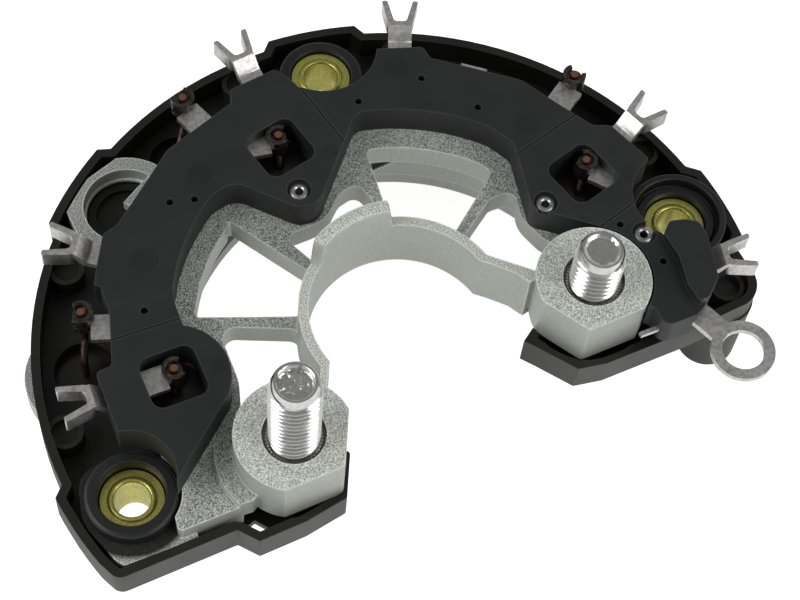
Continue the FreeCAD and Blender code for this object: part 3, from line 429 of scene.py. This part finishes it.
def casting_finish(colours):
    """Blasted aluminium: grainy where it looks up, even on its walls, with a thin bright edge that is worn
    and partly a painted highlight, painted shade on the low plate and painted shade round the left
    sleeve's ear.
    """
    finish = Finish("blasted_casting")
    fine = finish.grain(finish.position, CASTING_GRAIN)
    coarse = finish.grain(finish.position, 5.5 * MM, 3.0)
    up = finish.upward()
    edge = finish.edges(0.45 * MM)
    speck = finish.ramp(fine, 0.34, 0.64)
    # Painted shade darkens the grain of the low plate, up to the height of ring and bosses
    level = finish.ramp(finish.height(), *PLATE_SHADE_HEIGHTS)
    dark = finish.mix(level, *[rgba(colours.casting, share) for share in PIT_SHARES])
    light = finish.mix(level, *[rgba(colours.casting, share) for share in PEAK_SHARES])
    pitted = finish.mix(speck, dark, light)
    plain = finish.mix(speck, *[rgba(colours.casting, share) for share in WALL_SHARES])
    shade = finish.mix(up, plain, pitted)
    cloud = finish.mix(finish.ramp(coarse, 0.35, 0.75) * 0.2, shade, rgba(colours.casting, 0.72))
    # Thin bright edge: partly wear, partly a painted highlight
    cast_edge_wear_and_highlight = finish.mix(edge * 0.9, cloud, (0.95, 0.95, 0.92, 1.0))
    # Painted shade and a painted reflection of the dark sleeve, near black, on the ear round the left
    # sleeve
    away = finish.distance(finish.position, (EAR_SLEEVE.x, EAR_SLEEVE.y, EAR_TOP))
    low = finish.ramp(finish.height(), EAR_TOP + 0.6 * MM, EAR_TOP + 0.3 * MM)
    ear_painted_shade = low * finish.ramp(away, EAR_SHADE_END, EAR_SHADE_FULL)
    colour = finish.mix(ear_painted_shade * 0.98, cast_edge_wear_and_highlight, (0.010, 0.010, 0.009, 1.0))
    roughness = 0.50 - 0.12 * edge - 0.08 * speck
    relief = finish.bump(fine * (0.1 + 0.9 * up), 0.26 * MM, 1.0)
    finish.set(Base_Color=colour, Metallic=0.45, Roughness=roughness, Normal=relief)
    return finish.material


def moulding_finish(name, colour, edge_wear_and_highlight_colour, roughness, marks=(), painted_front_light=None):
    """Filled plastic with faint grain, rare specks, rubbed edges lightened partly as a painted highlight,
    ejector marks and painted light on its front walls.
    """
    finish = Finish(name)
    fine = finish.grain(finish.position, MOULDING_GRAIN)
    coarse = finish.grain(finish.position, 7.0 * MM, 3.0)
    speck = finish.ramp(finish.grain(finish.position, MOULDING_SPECK, 0.0), 0.84, 0.88)
    edge = finish.edges(0.32 * MM)
    tone = finish.mix(finish.ramp(coarse, 0.3, 0.7), rgba(colour, 0.9), rgba(colour, 1.1))
    for x, y, radius in marks:
        away = finish.distance(finish.position, (x * MM, y * MM, BOARD_TOP))
        inside = finish.ramp(away, radius * MM, (radius - 0.2) * MM)
        tone = finish.mix(inside * 0.8, tone, rgba(colour, 0.6))
    # Painted light: the front walls are greyed as if lit by light bounced off the floor
    if painted_front_light:
        along = finish.node("ShaderNodeSeparateXYZ", {}, {0: finish.position}, 1)
        painted_front_light_share = (1 - finish.upward()) * finish.ramp(along, *PAINTED_FRONT_LIGHT_RANGE)
        tone = finish.mix(painted_front_light_share, tone, rgba(painted_front_light))
    # Lighter edges: partly wear, partly a painted highlight
    moulded_edge_wear_and_highlight = finish.mix(edge * 0.5, tone, rgba(edge_wear_and_highlight_colour))
    dusty = finish.mix(speck * 0.25, moulded_edge_wear_and_highlight, rgba((0.10, 0.10, 0.11)))
    relief = finish.bump(fine, MOULDING_RELIEF, 0.5)
    uneven = roughness + 0.08 * finish.ramp(coarse, 0.35, 0.7)
    finish.set(Base_Color=dusty, Roughness=uneven, Specular_IOR_Level=0.5, Normal=relief)
    return finish.material


def metal_finish(name, colour, roughness, wear, scratch_size, tint=None, metallic=0.95):
    """Plated or tinned metal with cloudy patches and fine rubbing."""
    finish = Finish(name)
    streak = finish.grain(finish.position, scratch_size, 4.0)
    cloud = finish.grain(finish.position, 2.6 * MM, 2.0)
    base = finish.mix(finish.ramp(streak, 0.38, 0.68) * wear, rgba(colour), rgba(tint or colour, 0.45))
    relief = finish.bump(streak, 0.05 * MM, 0.35)
    finish.set(Base_Color=base, Metallic=metallic, Normal=relief,
               Roughness=roughness + 0.18 * finish.ramp(cloud, 0.3, 0.7))
    return finish.material


def solder_finish(colours):
    """Dull brown solder and flux on the crimps."""
    finish = Finish("dull_solder")
    lump = finish.grain(finish.position, 0.9 * MM, 3.0)
    share = finish.ramp(lump, 0.35, 0.65)
    tone = finish.mix(share, rgba(colours.solder, 0.45), rgba(colours.solder, 1.5))
    finish.set(Base_Color=tone, Metallic=0.85, Roughness=0.27, Normal=finish.bump(lump, 0.35 * MM, 1.0))
    return finish.material


def lead_finish(colours):
    """Lead browned by flux, with bare copper at its cut end."""
    finish = Finish("browned_lead")
    lump = finish.grain(finish.position, 0.7 * MM, 2.0)
    brown = finish.mix(finish.ramp(lump, 0.4, 0.6), (0.020, 0.013, 0.010, 1.0), (0.075, 0.045, 0.034, 1.0))
    end = finish.ramp(finish.height(), LEAD_END - 0.35 * MM, LEAD_END - 0.15 * MM)
    finish.set(Base_Color=finish.mix(end, brown, rgba(colours.copper)), Metallic=0.6, Roughness=0.38)
    return finish.material


def resin_finish(colours):
    """Smooth dark resin of one even colour."""
    finish = Finish("cast_resin")
    finish.set(Base_Color=rgba(colours.resin), Roughness=0.28)
    return finish.material


def mix_finishes(colours):
    """Makes every material of the rectifier."""
    materials["casting"] = casting_finish(colours)
    # Edge colours below are worn edges, partly lightened as a painted highlight
    materials["board"] = moulding_finish("board_moulding", colours.board, (0.085, 0.09, 0.092), 0.50,
                                         marks=EJECTOR_MARKS)
    materials["tray"] = moulding_finish("tray_moulding", colours.tray, (0.035, 0.028, 0.022), 0.46,
                                        painted_front_light=(0.052, 0.053, 0.046))
    materials["sleeve"] = moulding_finish("sleeve_moulding", colours.sleeve, (0.03, 0.03, 0.03), 0.40)
    materials["chromate"] = metal_finish("yellow_chromate", colours.chromate, 0.22, 0.55, 0.26 * MM,
                                         tint=(0.50, 0.47, 0.14), metallic=0.88)
    materials["tin"] = metal_finish("tinned_strip", colours.tin, 0.29, 0.45, 0.7 * MM,
                                    tint=(0.50, 0.49, 0.45))
    materials["zinc"] = metal_finish("plated_stud", colours.zinc, 0.12, 0.22, 0.8 * MM, metallic=1.0)
    materials["rivet"] = metal_finish("plated_rivet", rgba(colours.zinc, 0.6)[:3], 0.24, 0.3, 0.8 * MM)
    materials["solder"] = solder_finish(colours)
    materials["copper"] = lead_finish(colours)
    materials["cup"] = metal_finish("nickel_cup", (0.55, 0.52, 0.48), 0.3, 0.4, 0.9 * MM)
    materials["resin"] = resin_finish(colours)


# Meshes


def new_piece(name, mesh, finish):
    """Object of a finished mesh that rides on the rectifier."""
    piece = bpy.data.objects.new(name, mesh)
    bpy.context.scene.collection.objects.link(piece)
    mesh.materials.append(materials[finish])
    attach(piece, "root")
    return piece


def joined_shell(node):
    """Mesh of a solid with its loose triangles joined into faces."""
    shell = bmesh.new()
    shell.from_mesh(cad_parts[node].data)
    bmesh.ops.remove_doubles(shell, verts=shell.verts, dist=WELD)
    bmesh.ops.dissolve_limit(shell, angle_limit=FLAT_ANGLE, verts=shell.verts, edges=shell.edges)
    return shell


def dressed(node, finish, rounding):
    """Copy of a solid with smooth walls and rounded edges, which stands for it."""
    shell = joined_shell(node)
    mesh = bpy.data.meshes.new(node + "_dressed")
    shell.to_mesh(mesh)
    shell.free()
    mesh.shade_smooth()
    piece = new_piece(node + "_dressed", mesh, finish)
    if rounding:
        bevel = piece.modifiers.new("rounded edges", "BEVEL")
        bevel.width = rounding
        bevel.segments = 2
        bevel.limit_method = "ANGLE"
        bevel.angle_limit = SHARP_ANGLE
        bevel.loop_slide = False
        shading = piece.modifiers.new("flat faces", "WEIGHTED_NORMAL")
        shading.mode = "FACE_AREA"
        shading.weight = 100
    else:
        mesh.set_sharp_from_angle(angle=SHARP_ANGLE)
    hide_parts(node)
    return piece


def lathe(profile, segments, centre):
    """Turned mesh about a vertical axis from (radius, height) points, from the bottom up or outwards."""
    shell = bmesh.new()
    rings = []
    for radius, height in profile:
        if radius == 0:
            rings.append([shell.verts.new((centre.x, centre.y, height))])
            continue
        ring = []
        for index in range(segments):
            angle = 2 * math.pi * index / segments
            x = centre.x + radius * math.cos(angle)
            y = centre.y + radius * math.sin(angle)
            ring.append(shell.verts.new((x, y, height)))
        rings.append(ring)
    for lower, upper in zip(rings, rings[1:]):
        for index in range(segments):
            following = (index + 1) % segments
            corners = [lower[index % len(lower)], lower[following % len(lower)],
                       upper[following % len(upper)], upper[index % len(upper)]]
            kept = list(dict.fromkeys(corners))
            if len(kept) > 2:
                shell.faces.new(kept)
    return shell


def add_bar(shell, start, end, width, low, high):
    """Adds a straight flat bar between two points on the ground, at two heights."""
    across = (end - start).normalized().cross(Vector((0, 0, 1))) * width / 2
    corners = (start - across, start + across, end + across, end - across)
    face = shell.faces.new([shell.verts.new((corner.x, corner.y, low)) for corner in corners])
    for item in bmesh.ops.extrude_face_region(shell, geom=[face])["geom"]:
        if isinstance(item, bmesh.types.BMVert):
            item.co.z = high


def smooth_share(value, low, high):
    """Share that rises smoothly from 0 at low to 1 at high."""
    share = min(max((value - low) / (high - low), 0.0), 1.0)
    return share * share * (3 - 2 * share)


def swept(sections):
    """Closed mesh through a row of sections with equal numbers of points."""
    shell = bmesh.new()
    rows = [[shell.verts.new(point) for point in section] for section in sections]
    for here, there in zip(rows, rows[1:]):
        for index in range(len(here)):
            following = (index + 1) % len(here)
            shell.faces.new((here[index], here[following], there[following], there[index]))
    shell.faces.new(rows[0])
    shell.faces.new(rows[-1])
    return shell


def stretch_section(bearing):
    """Section of the ring's raised stretch at a bearing, with rounded upper edges."""
    drop_end, drop, rise, rise_end = STRETCH_BEARINGS
    share = min(smooth_share(bearing, drop_end, drop), smooth_share(-bearing, -rise_end, -rise))
    inner = RING_WALLS[0] + (STRETCH_WALLS[0] - RING_WALLS[0]) * share
    outer = RING_WALLS[1] + (STRETCH_WALLS[1] - RING_WALLS[1]) * share
    top = STRETCH_FOOT + (STRETCH_TOP - STRETCH_FOOT) * share
    profile = [(inner + STRETCH_TAPER, STRETCH_ROOT), (inner, STRETCH_BOTTOM)]
    for wall, inwards, turns in ((inner, 1, (0, 30, 60, 90)), (outer, -1, (90, 60, 30, 0))):
        for turn in turns:
            angle = math.radians(turn)
            radius = wall + inwards * STRETCH_ROUNDING * (1 - math.cos(angle))
            profile.append((radius, top - STRETCH_ROUNDING * (1 - math.sin(angle))))
    profile.append((outer, STRETCH_BOTTOM))
    return [polar(radius, bearing) + Vector((0, 0, height)) for radius, height in profile]


def rim_section(share):
    """Section of the negative heat sink's upstanding rim, at a share of its length."""
    corners = []
    for height, (start, end), walls in zip(RIM_HEIGHTS, RIM_ENDS, (RIM_WALLS, RIM_WALLS[::-1])):
        for radius in walls:
            corners.append(polar(radius, start + (end - start) * share) + Vector((0, 0, height)))
    return corners


def shell_mesh(shell, name, smooth_angle=38):
    """Finished mesh of a shell, smooth up to an angle."""
    bmesh.ops.recalc_face_normals(shell, faces=shell.faces)
    mesh = bpy.data.meshes.new(name)
    shell.to_mesh(mesh)
    shell.free()
    mesh.shade_smooth()
    mesh.set_sharp_from_angle(angle=math.radians(smooth_angle))
    return mesh


def grown(tree, name, values):
    """Plain mesh that a geometry tree makes from its named sizes."""
    holder = bpy.data.objects.new(name + "_holder", bpy.data.meshes.new(name + "_holder"))
    bpy.context.scene.collection.objects.link(holder)
    modifier = holder.modifiers.new(name, "NODES")
    modifier.node_group = tree
    for item in tree.interface.items_tree:
        if item.in_out == "INPUT" and item.name in values:
            modifier[item.identifier] = values[item.name]
    evaluated = holder.evaluated_get(bpy.context.evaluated_depsgraph_get())
    mesh = bpy.data.meshes.new_from_object(evaluated)
    mesh.name = name
    bpy.data.objects.remove(holder)
    return mesh


class GeometryTree(Tree):
    """A geometry node tree with named sizes, which ends in real meshes of one material."""

    def __init__(self, name, sizes):
        group = bpy.data.node_groups.new(name, "GeometryNodeTree")
        super().__init__(group)
        self.group = group
        for size_name, kind in sizes.items():
            group.interface.new_socket(size_name, in_out="INPUT", socket_type=kind)
        group.interface.new_socket("Geometry", in_out="OUTPUT", socket_type="NodeSocketGeometry")
        self.inputs = group.nodes.new("NodeGroupInput")

    def size(self, name):
        return Value(self, self.inputs.outputs[name])

    def finish(self, geometry, material):
        real = self.node("GeometryNodeRealizeInstances", {}, {0: geometry})
        painted = self.node("GeometryNodeSetMaterial", {}, {0: real, "Material": material})
        output = self.group.nodes.new("NodeGroupOutput")
        self.group.links.new(painted.socket, output.inputs[0])
        return self.group


def thread_tree(material):
    """Helical thread: a strip of one pitch wound up the stud and closed at both ends."""
    tree = GeometryTree("stud_thread", {
        "Radius": "NodeSocketFloat", "Depth": "NodeSocketFloat", "Pitch": "NodeSocketFloat",
        "Length": "NodeSocketFloat", "Chamfer": "NodeSocketFloat", "Base": "NodeSocketVector",
    })
    turns = tree.size("Length") / tree.size("Pitch") + 2
    columns = (turns * TURN_PARTS).sum("ROUND") + 1
    grid = tree.node("GeometryNodeMeshGrid", {}, {
        "Size X": 1.0, "Size Y": 1.0, "Vertices X": columns, "Vertices Y": PITCH_ROWS})
    place = tree.node("GeometryNodeInputPosition")
    along = tree.node("ShaderNodeSeparateXYZ", {}, {0: place}, 0) + 0.5
    across = tree.node("ShaderNodeSeparateXYZ", {}, {0: place}, 1) + 0.5
    wound = along * (columns - 1) / TURN_PARTS
    angle = wound * (2 * math.pi)
    rise = (wound + across - 1) * tree.size("Pitch")
    height = rise.at_least(0.0).at_most(tree.size("Length"))
    from_root = (across - 0.5).sum("ABSOLUTE") * 2
    flank = ((from_root - ROOT_SHARE) / FLANK_SHARE).at_least(0.0).at_most(1.0)
    crest = tree.size("Radius") - tree.size("Depth") * (1 - flank)
    top_limit = tree.size("Radius") - tree.size("Chamfer") + (tree.size("Length") - height)
    radius = crest.at_most(top_limit)
    moved = tree.vector(radius * angle.sum("COSINE"), radius * angle.sum("SINE"), height)
    based = tree.node("ShaderNodeVectorMath", {"operation": "ADD"}, {0: moved, 1: tree.size("Base")})
    coil = tree.node("GeometryNodeSetPosition", {}, {"Geometry": grid, "Position": based})
    closed = tree.node("GeometryNodeMergeByDistance", {}, {"Geometry": coil, "Distance": 0.002 * MM})
    return tree.finish(closed, material)


def knurl_tree(material):
    """Ring of upright wedge teeth."""
    tree = GeometryTree("stud_knurl", {
        "Radius": "NodeSocketFloat", "Teeth": "NodeSocketInt", "Tooth": "NodeSocketFloat",
        "Height": "NodeSocketFloat", "Base": "NodeSocketVector",
    })
    ring = tree.node("GeometryNodeMeshCircle", {}, {
        "Vertices": tree.size("Teeth"), "Radius": tree.size("Radius")})
    tooth = tree.node("GeometryNodeMeshCylinder", {}, {
        "Vertices": 6, "Radius": tree.size("Tooth"), "Depth": tree.size("Height")})
    teeth = tree.node("GeometryNodeInstanceOnPoints", {}, {"Points": ring, "Instance": tooth})
    placed = tree.node("GeometryNodeSetPosition", {}, {"Geometry": teeth, "Offset": tree.size("Base")})
    return tree.finish(placed, material)


# Operators


def sizes_of(context):
    return context.scene.rectifier_sizes


class RECTIFIER_OT_heat_sinks(bpy.types.Operator):
    """Finishes the two heat sinks, with the ring's raised stretch and the upstanding inner rim."""

    bl_idname = "rectifier.heat_sinks"
    bl_label = "Heat sinks"

    def execute(self, context):
        edge = sizes_of(context).casting_edge
        dressed("positive_heat_sink", "casting", edge)
        dressed("negative_heat_sink", "casting", edge)
        drop_end, rise_end = STRETCH_BEARINGS[0], STRETCH_BEARINGS[-1]
        length = rise_end - drop_end
        bearings = [drop_end + length * step / STRETCH_STEPS for step in range(STRETCH_STEPS + 1)]
        stretch = swept([stretch_section(bearing) for bearing in bearings])
        stretch_mesh = shell_mesh(stretch, "raised_stretch", smooth_angle=50)
        new_piece("raised_stretch", stretch_mesh, "casting")
        rim = swept([rim_section(step / RIM_STEPS) for step in range(RIM_STEPS + 1)])
        new_piece("inner_rim", shell_mesh(rim, "inner_rim"), "casting")
        return {"FINISHED"}


class RECTIFIER_OT_mouldings(bpy.types.Operator):
    """Finishes the tray with its guide tubes' floors, the terminal board and the insulating sleeves."""

    bl_idname = "rectifier.mouldings"
    bl_label = "Mouldings"

    def execute(self, context):
        edge = sizes_of(context).moulding_edge
        dressed("base_tray", "tray", edge)
        dressed("terminal_board", "board", edge)
        for number in (1, 2, 3):
            dressed("insulating_sleeve_%d" % number, "sleeve", edge)
        floors = bmesh.new()
        underside = TUBE_FLOOR - TUBE_FLOOR_DEPTH
        for bearing in TUBE_BEARINGS:
            profile = [(0, underside), (TUBE_BORE, underside), (TUBE_BORE, TUBE_FLOOR), (0, TUBE_FLOOR)]
            disc = lathe(profile, FLOOR_PARTS, polar(TUBE_PITCH, bearing))
            floors.from_mesh(shell_mesh(disc, "tube_floor"))
        new_piece("tube_floors", shell_mesh(floors, "tube_floors"), "tray")
        return {"FINISHED"}


class RECTIFIER_OT_bushes(bpy.types.Operator):
    """Finishes the flanged bushes and lengthens their tubes."""

    bl_idname = "rectifier.bushes"
    bl_label = "Bushes"

    def execute(self, context):
        for number in (1, 2, 3):
            dressed("bush_%d" % number, "chromate", sizes_of(context).strip_edge)
        feet = bmesh.new()
        for number in (1, 2, 3):
            profile = [(FOOT_BORE, FOOT_HIGH), (FOOT_BORE, FOOT_LOW), (FOOT_OUTSIDE, FOOT_LOW),
                       (FOOT_OUTSIDE, FOOT_HIGH), (FOOT_BORE, FOOT_HIGH)]
            tube = lathe(profile, ROUND_PARTS, box_centre("bush_%d" % number))
            bmesh.ops.remove_doubles(tube, verts=tube.verts, dist=WELD)
            feet.from_mesh(shell_mesh(tube, "bush_foot"))
        new_piece("bush_feet", shell_mesh(feet, "bush_feet"), "chromate")
        return {"FINISHED"}


class RECTIFIER_OT_studs(bpy.types.Operator):
    """Cuts the studs' threads, end faces and serrated feet."""

    bl_idname = "rectifier.studs"
    bl_label = "Studs"

    def execute(self, context):
        sizes = sizes_of(context)
        threads = thread_tree(materials["zinc"])
        knurls = knurl_tree(materials["zinc"])
        for node, recess, roughness in STUD_ENDS:
            low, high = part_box(node)
            axis = box_centre(node)
            collar = high.z - COLLAR_LENGTH
            coil = grown(threads, node + "_thread", {
                "Radius": STUD_CREST, "Depth": sizes.thread_depth, "Pitch": sizes.thread_pitch,
                "Length": collar - STUD_FOOT, "Chamfer": THREAD_CHAMFER,
                "Base": (axis.x, axis.y, STUD_FOOT)})
            teeth = grown(knurls, node + "_knurl", {
                "Radius": KNURL_RADIUS, "Teeth": sizes.knurl_teeth, "Tooth": KNURL_TOOTH,
                "Height": KNURL_HEIGHT, "Base": (axis.x, axis.y, STUD_FOOT - KNURL_DROP)})
            head_top = low.z + STUD_HEAD_HEIGHT
            root = STUD_CREST - sizes.thread_depth - 0.1 * MM
            neck = STUD_CREST - COLLAR_STEP
            end = STUD_CREST - STUD_CHAMFER
            step = RECESS_SHARE / RECESS_RINGS
            face = [(end * (RECESS_SHARE - step * ring), high.z - recess) for ring in range(RECESS_RINGS)]
            core = lathe([
                (0, low.z), (STUD_HEAD, low.z), (STUD_HEAD, head_top), (STUD_SHANK, head_top),
                (STUD_SHANK, STUD_FOOT), (root, STUD_FOOT + 0.1 * MM), (root, collar - 0.3 * MM),
                (neck, collar + 0.1 * MM), (neck, high.z - 0.6 * MM), (end + 0.1 * MM, high.z - 0.04 * MM),
                (end * 0.96, high.z), (end * 0.88, high.z - 0.12 * MM),
            ] + face + [(0, high.z - recess)], ROUND_PARTS, axis)
            for point in core.verts:
                if (point.co - axis).xy.length < end * ROUGH_SHARE and point.co.z > collar:
                    point.co.z += roughness * noise.noise(point.co / ROUGH_GRAIN)
            whole = bmesh.new()
            for part in (coil, teeth, shell_mesh(core, node + "_core")):
                whole.from_mesh(part)
            mesh = bpy.data.meshes.new(node + "_cut")
            whole.to_mesh(mesh)
            whole.free()
            mesh.shade_smooth()
            mesh.set_sharp_from_angle(angle=math.radians(40))
            piece = new_piece(node + "_cut", mesh, "zinc")
            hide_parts(node)
        return {"FINISHED"}


class RECTIFIER_OT_conductors(bpy.types.Operator):
    """Finishes the phase conductors with their soldered crimps, the tap's ring lug and the rivets."""

    bl_idname = "rectifier.conductors"
    bl_label = "Conductors"

    def execute(self, context):
        edge = sizes_of(context).strip_edge
        leads = [lead_end("%s_diode_lead_%d" % (kind, number))
                 for kind in ("negative", "positive") for number in (1, 2, 3)]
        for node in ("phase_conductor_1", "phase_conductor_2", "phase_conductor_3", "tap_conductor"):
            piece = dressed(node, "tin", edge)
            piece.data.materials.append(materials["solder"])
            for face in piece.data.polygons:
                if min((face.center - lead).xy.length for lead in leads) < CRIMP_REACH:
                    face.material_index = 1
        dressed("hollow_rivets", "rivet", 0)
        bars = bmesh.new()
        side_ends = [polar(SIDE_BAR_PITCH, bearing) for bearing in SIDE_BAR_BEARINGS]
        add_bar(bars, *side_ends, SIDE_BAR_WIDTH, *SIDE_BAR_HEIGHTS)
        add_bar(bars, *LOW_BAR_ENDS, LOW_BAR_WIDTH, *LOW_BAR_HEIGHTS)
        new_piece("bare_bar_ends", shell_mesh(bars, "bare_bar_ends"), "tin")
        return {"FINISHED"}


class RECTIFIER_OT_diodes(bpy.types.Operator):
    """Finishes the diodes' cups, seals and leads."""

    bl_idname = "rectifier.diodes"
    bl_label = "Diodes"

    def execute(self, context):
        for kind in ("negative", "positive"):
            for number in (1, 2, 3):
                dressed("%s_diode_cup_%d" % (kind, number), "cup", 0)
                dressed("%s_diode_seal_%d" % (kind, number), "resin", 0)
                dressed("%s_diode_lead_%d" % (kind, number), "copper", 0)
        return {"FINISHED"}


class RECTIFIER_OT_stage(bpy.types.Operator):
    """Sets the floor, the lamps, the world and the camera."""

    bl_idname = "rectifier.stage"
    bl_label = "Stage"

    def execute(self, context):
        scene = context.scene
        scene.view_settings.view_transform = "Standard"
        floor_mesh = bpy.data.meshes.new("floor")
        level = CAD_BOX[0][2] - FLOOR_GAP
        sides = ((-1, -1), (1, -1), (1, 1), (-1, 1))
        corners = [(x * FLOOR_REACH, y * FLOOR_REACH, level) for x, y in sides]
        floor_mesh.from_pydata(corners, [], [(0, 1, 2, 3)])
        floor = bpy.data.objects.new("floor", floor_mesh)
        scene.collection.objects.link(floor)
        floor_mesh.materials.append(self.floor_finish())
        self.light_world(scene)
        for name, place, power in LAMPS:
            self.add_lamp(name, place, power)
        scene.camera = self.add_camera(scene)
        return {"FINISHED"}

    def floor_finish(self):
        """Pale floor that stays white to the camera and keeps a light shadow."""
        finish = Finish("pale_floor")
        path = finish.nodes_tree.nodes.new("ShaderNodeLightPath")
        camera = Value(finish, path.outputs["Is Camera Ray"])
        glossy = Value(finish, path.outputs["Is Glossy Ray"])
        glow = camera * FLOOR_TO_CAMERA + glossy * FLOOR_TO_REFLECTION
        finish.set(Base_Color=(0.62, 0.62, 0.62, 1.0), Roughness=0.9, Specular_IOR_Level=0.0,
                   Emission_Color=(1.0, 1.0, 1.0, 1.0), Emission_Strength=glow)
        return finish.material

    def light_world(self, scene):
        """Light from all round: white to the camera, and in reflections pale low down and dim overhead."""
        world = bpy.data.worlds.new("studio")
        world.use_nodes = True
        scene.world = world
        tree = Tree(world.node_tree)
        background = world.node_tree.nodes["Background"]
        path = world.node_tree.nodes.new("ShaderNodeLightPath")
        camera = Value(tree, path.outputs["Is Camera Ray"])
        glossy = Value(tree, path.outputs["Is Glossy Ray"])
        direction = tree.node("ShaderNodeTexCoord")
        overhead = tree.ramp(tree.node("ShaderNodeSeparateXYZ", {}, {0: direction}, 2), 0.0, 0.6)
        reflected = REFLECTED_LOW - REFLECTED_DROP * overhead
        strength = AMBIENT + camera * (1 - AMBIENT) + glossy * (reflected - AMBIENT)
        background.inputs["Color"].default_value = (1.0, 1.0, 1.0, 1.0)
        world.node_tree.links.new(strength.socket, background.inputs["Strength"])

    def add_lamp(self, name, place, power):
        """Square lamp that looks at the rectifier."""
        data = bpy.data.lights.new(name, "AREA")
        data.size = LAMP_SIDE
        data.energy = power
        lamp = bpy.data.objects.new(name, data)
        lamp.location = place
        lamp.rotation_euler = (-Vector(place)).to_track_quat("-Z", "Y").to_euler()
        bpy.context.scene.collection.objects.link(lamp)

    def add_camera(self, scene):
        """Camera at the photograph's viewing angle."""
        data = bpy.data.cameras.new("camera")
        data.sensor_width = 36.0
        data.lens = CAMERA_LENS
        data.clip_start = 0.01
        camera = bpy.data.objects.new("camera", data)
        scene.collection.objects.link(camera)
        forward = Vector((0, math.cos(CAMERA_ELEVATION), -math.sin(CAMERA_ELEVATION)))
        up = Vector((0, math.sin(CAMERA_ELEVATION), math.cos(CAMERA_ELEVATION)))
        right = Vector((1, 0, 0))
        rolled_right = math.cos(CAMERA_ROLL) * right + math.sin(CAMERA_ROLL) * up
        rolled_up = math.cos(CAMERA_ROLL) * up - math.sin(CAMERA_ROLL) * right
        place = CAMERA_TARGET - CAMERA_DISTANCE * forward
        turned = Matrix.Rotation(CAMERA_TURN, 4, "Z")
        axes = Matrix((rolled_right, rolled_up, -forward)).transposed().to_4x4()
        lifted = Matrix.Translation((0, 0, RIM_TOP))
        camera.matrix_world = lifted @ turned @ Matrix.Translation(place) @ axes
        return camera


class RECTIFIER_PT_panel(bpy.types.Panel):
    """Lists the rectifier's pieces, colours and sizes."""

    bl_idname = "RECTIFIER_PT_panel"
    bl_label = "Rectifier"
    bl_space_type = "VIEW_3D"
    bl_region_type = "UI"
    bl_category = "Rectifier"

    def draw(self, context):
        for group in (context.scene.rectifier_sizes, context.scene.rectifier_finish):
            for name in group.__annotations__:
                self.layout.prop(group, name)
        for operator in OPERATORS:
            self.layout.operator(operator.bl_idname)


OPERATORS = [
    RECTIFIER_OT_heat_sinks,
    RECTIFIER_OT_mouldings,
    RECTIFIER_OT_bushes,
    RECTIFIER_OT_studs,
    RECTIFIER_OT_conductors,
    RECTIFIER_OT_diodes,
    RECTIFIER_OT_stage,
]
CLASSES = [RectifierFinish, RectifierSizes] + OPERATORS + [RECTIFIER_PT_panel]


def register():
    for item in CLASSES:
        bpy.utils.register_class(item)
    bpy.types.Scene.rectifier_finish = bpy.props.PointerProperty(type=RectifierFinish)
    bpy.types.Scene.rectifier_sizes = bpy.props.PointerProperty(type=RectifierSizes)


def unregister():
    del bpy.types.Scene.rectifier_sizes
    del bpy.types.Scene.rectifier_finish
    for item in reversed(CLASSES):
        bpy.utils.unregister_class(item)


def main():
    register()
    mix_finishes(bpy.context.scene.rectifier_finish)
    for operator in OPERATORS:
        group, name = operator.bl_idname.split(".")
        getattr(getattr(bpy.ops, group), name)()


if __name__ == "__main__":
    main()
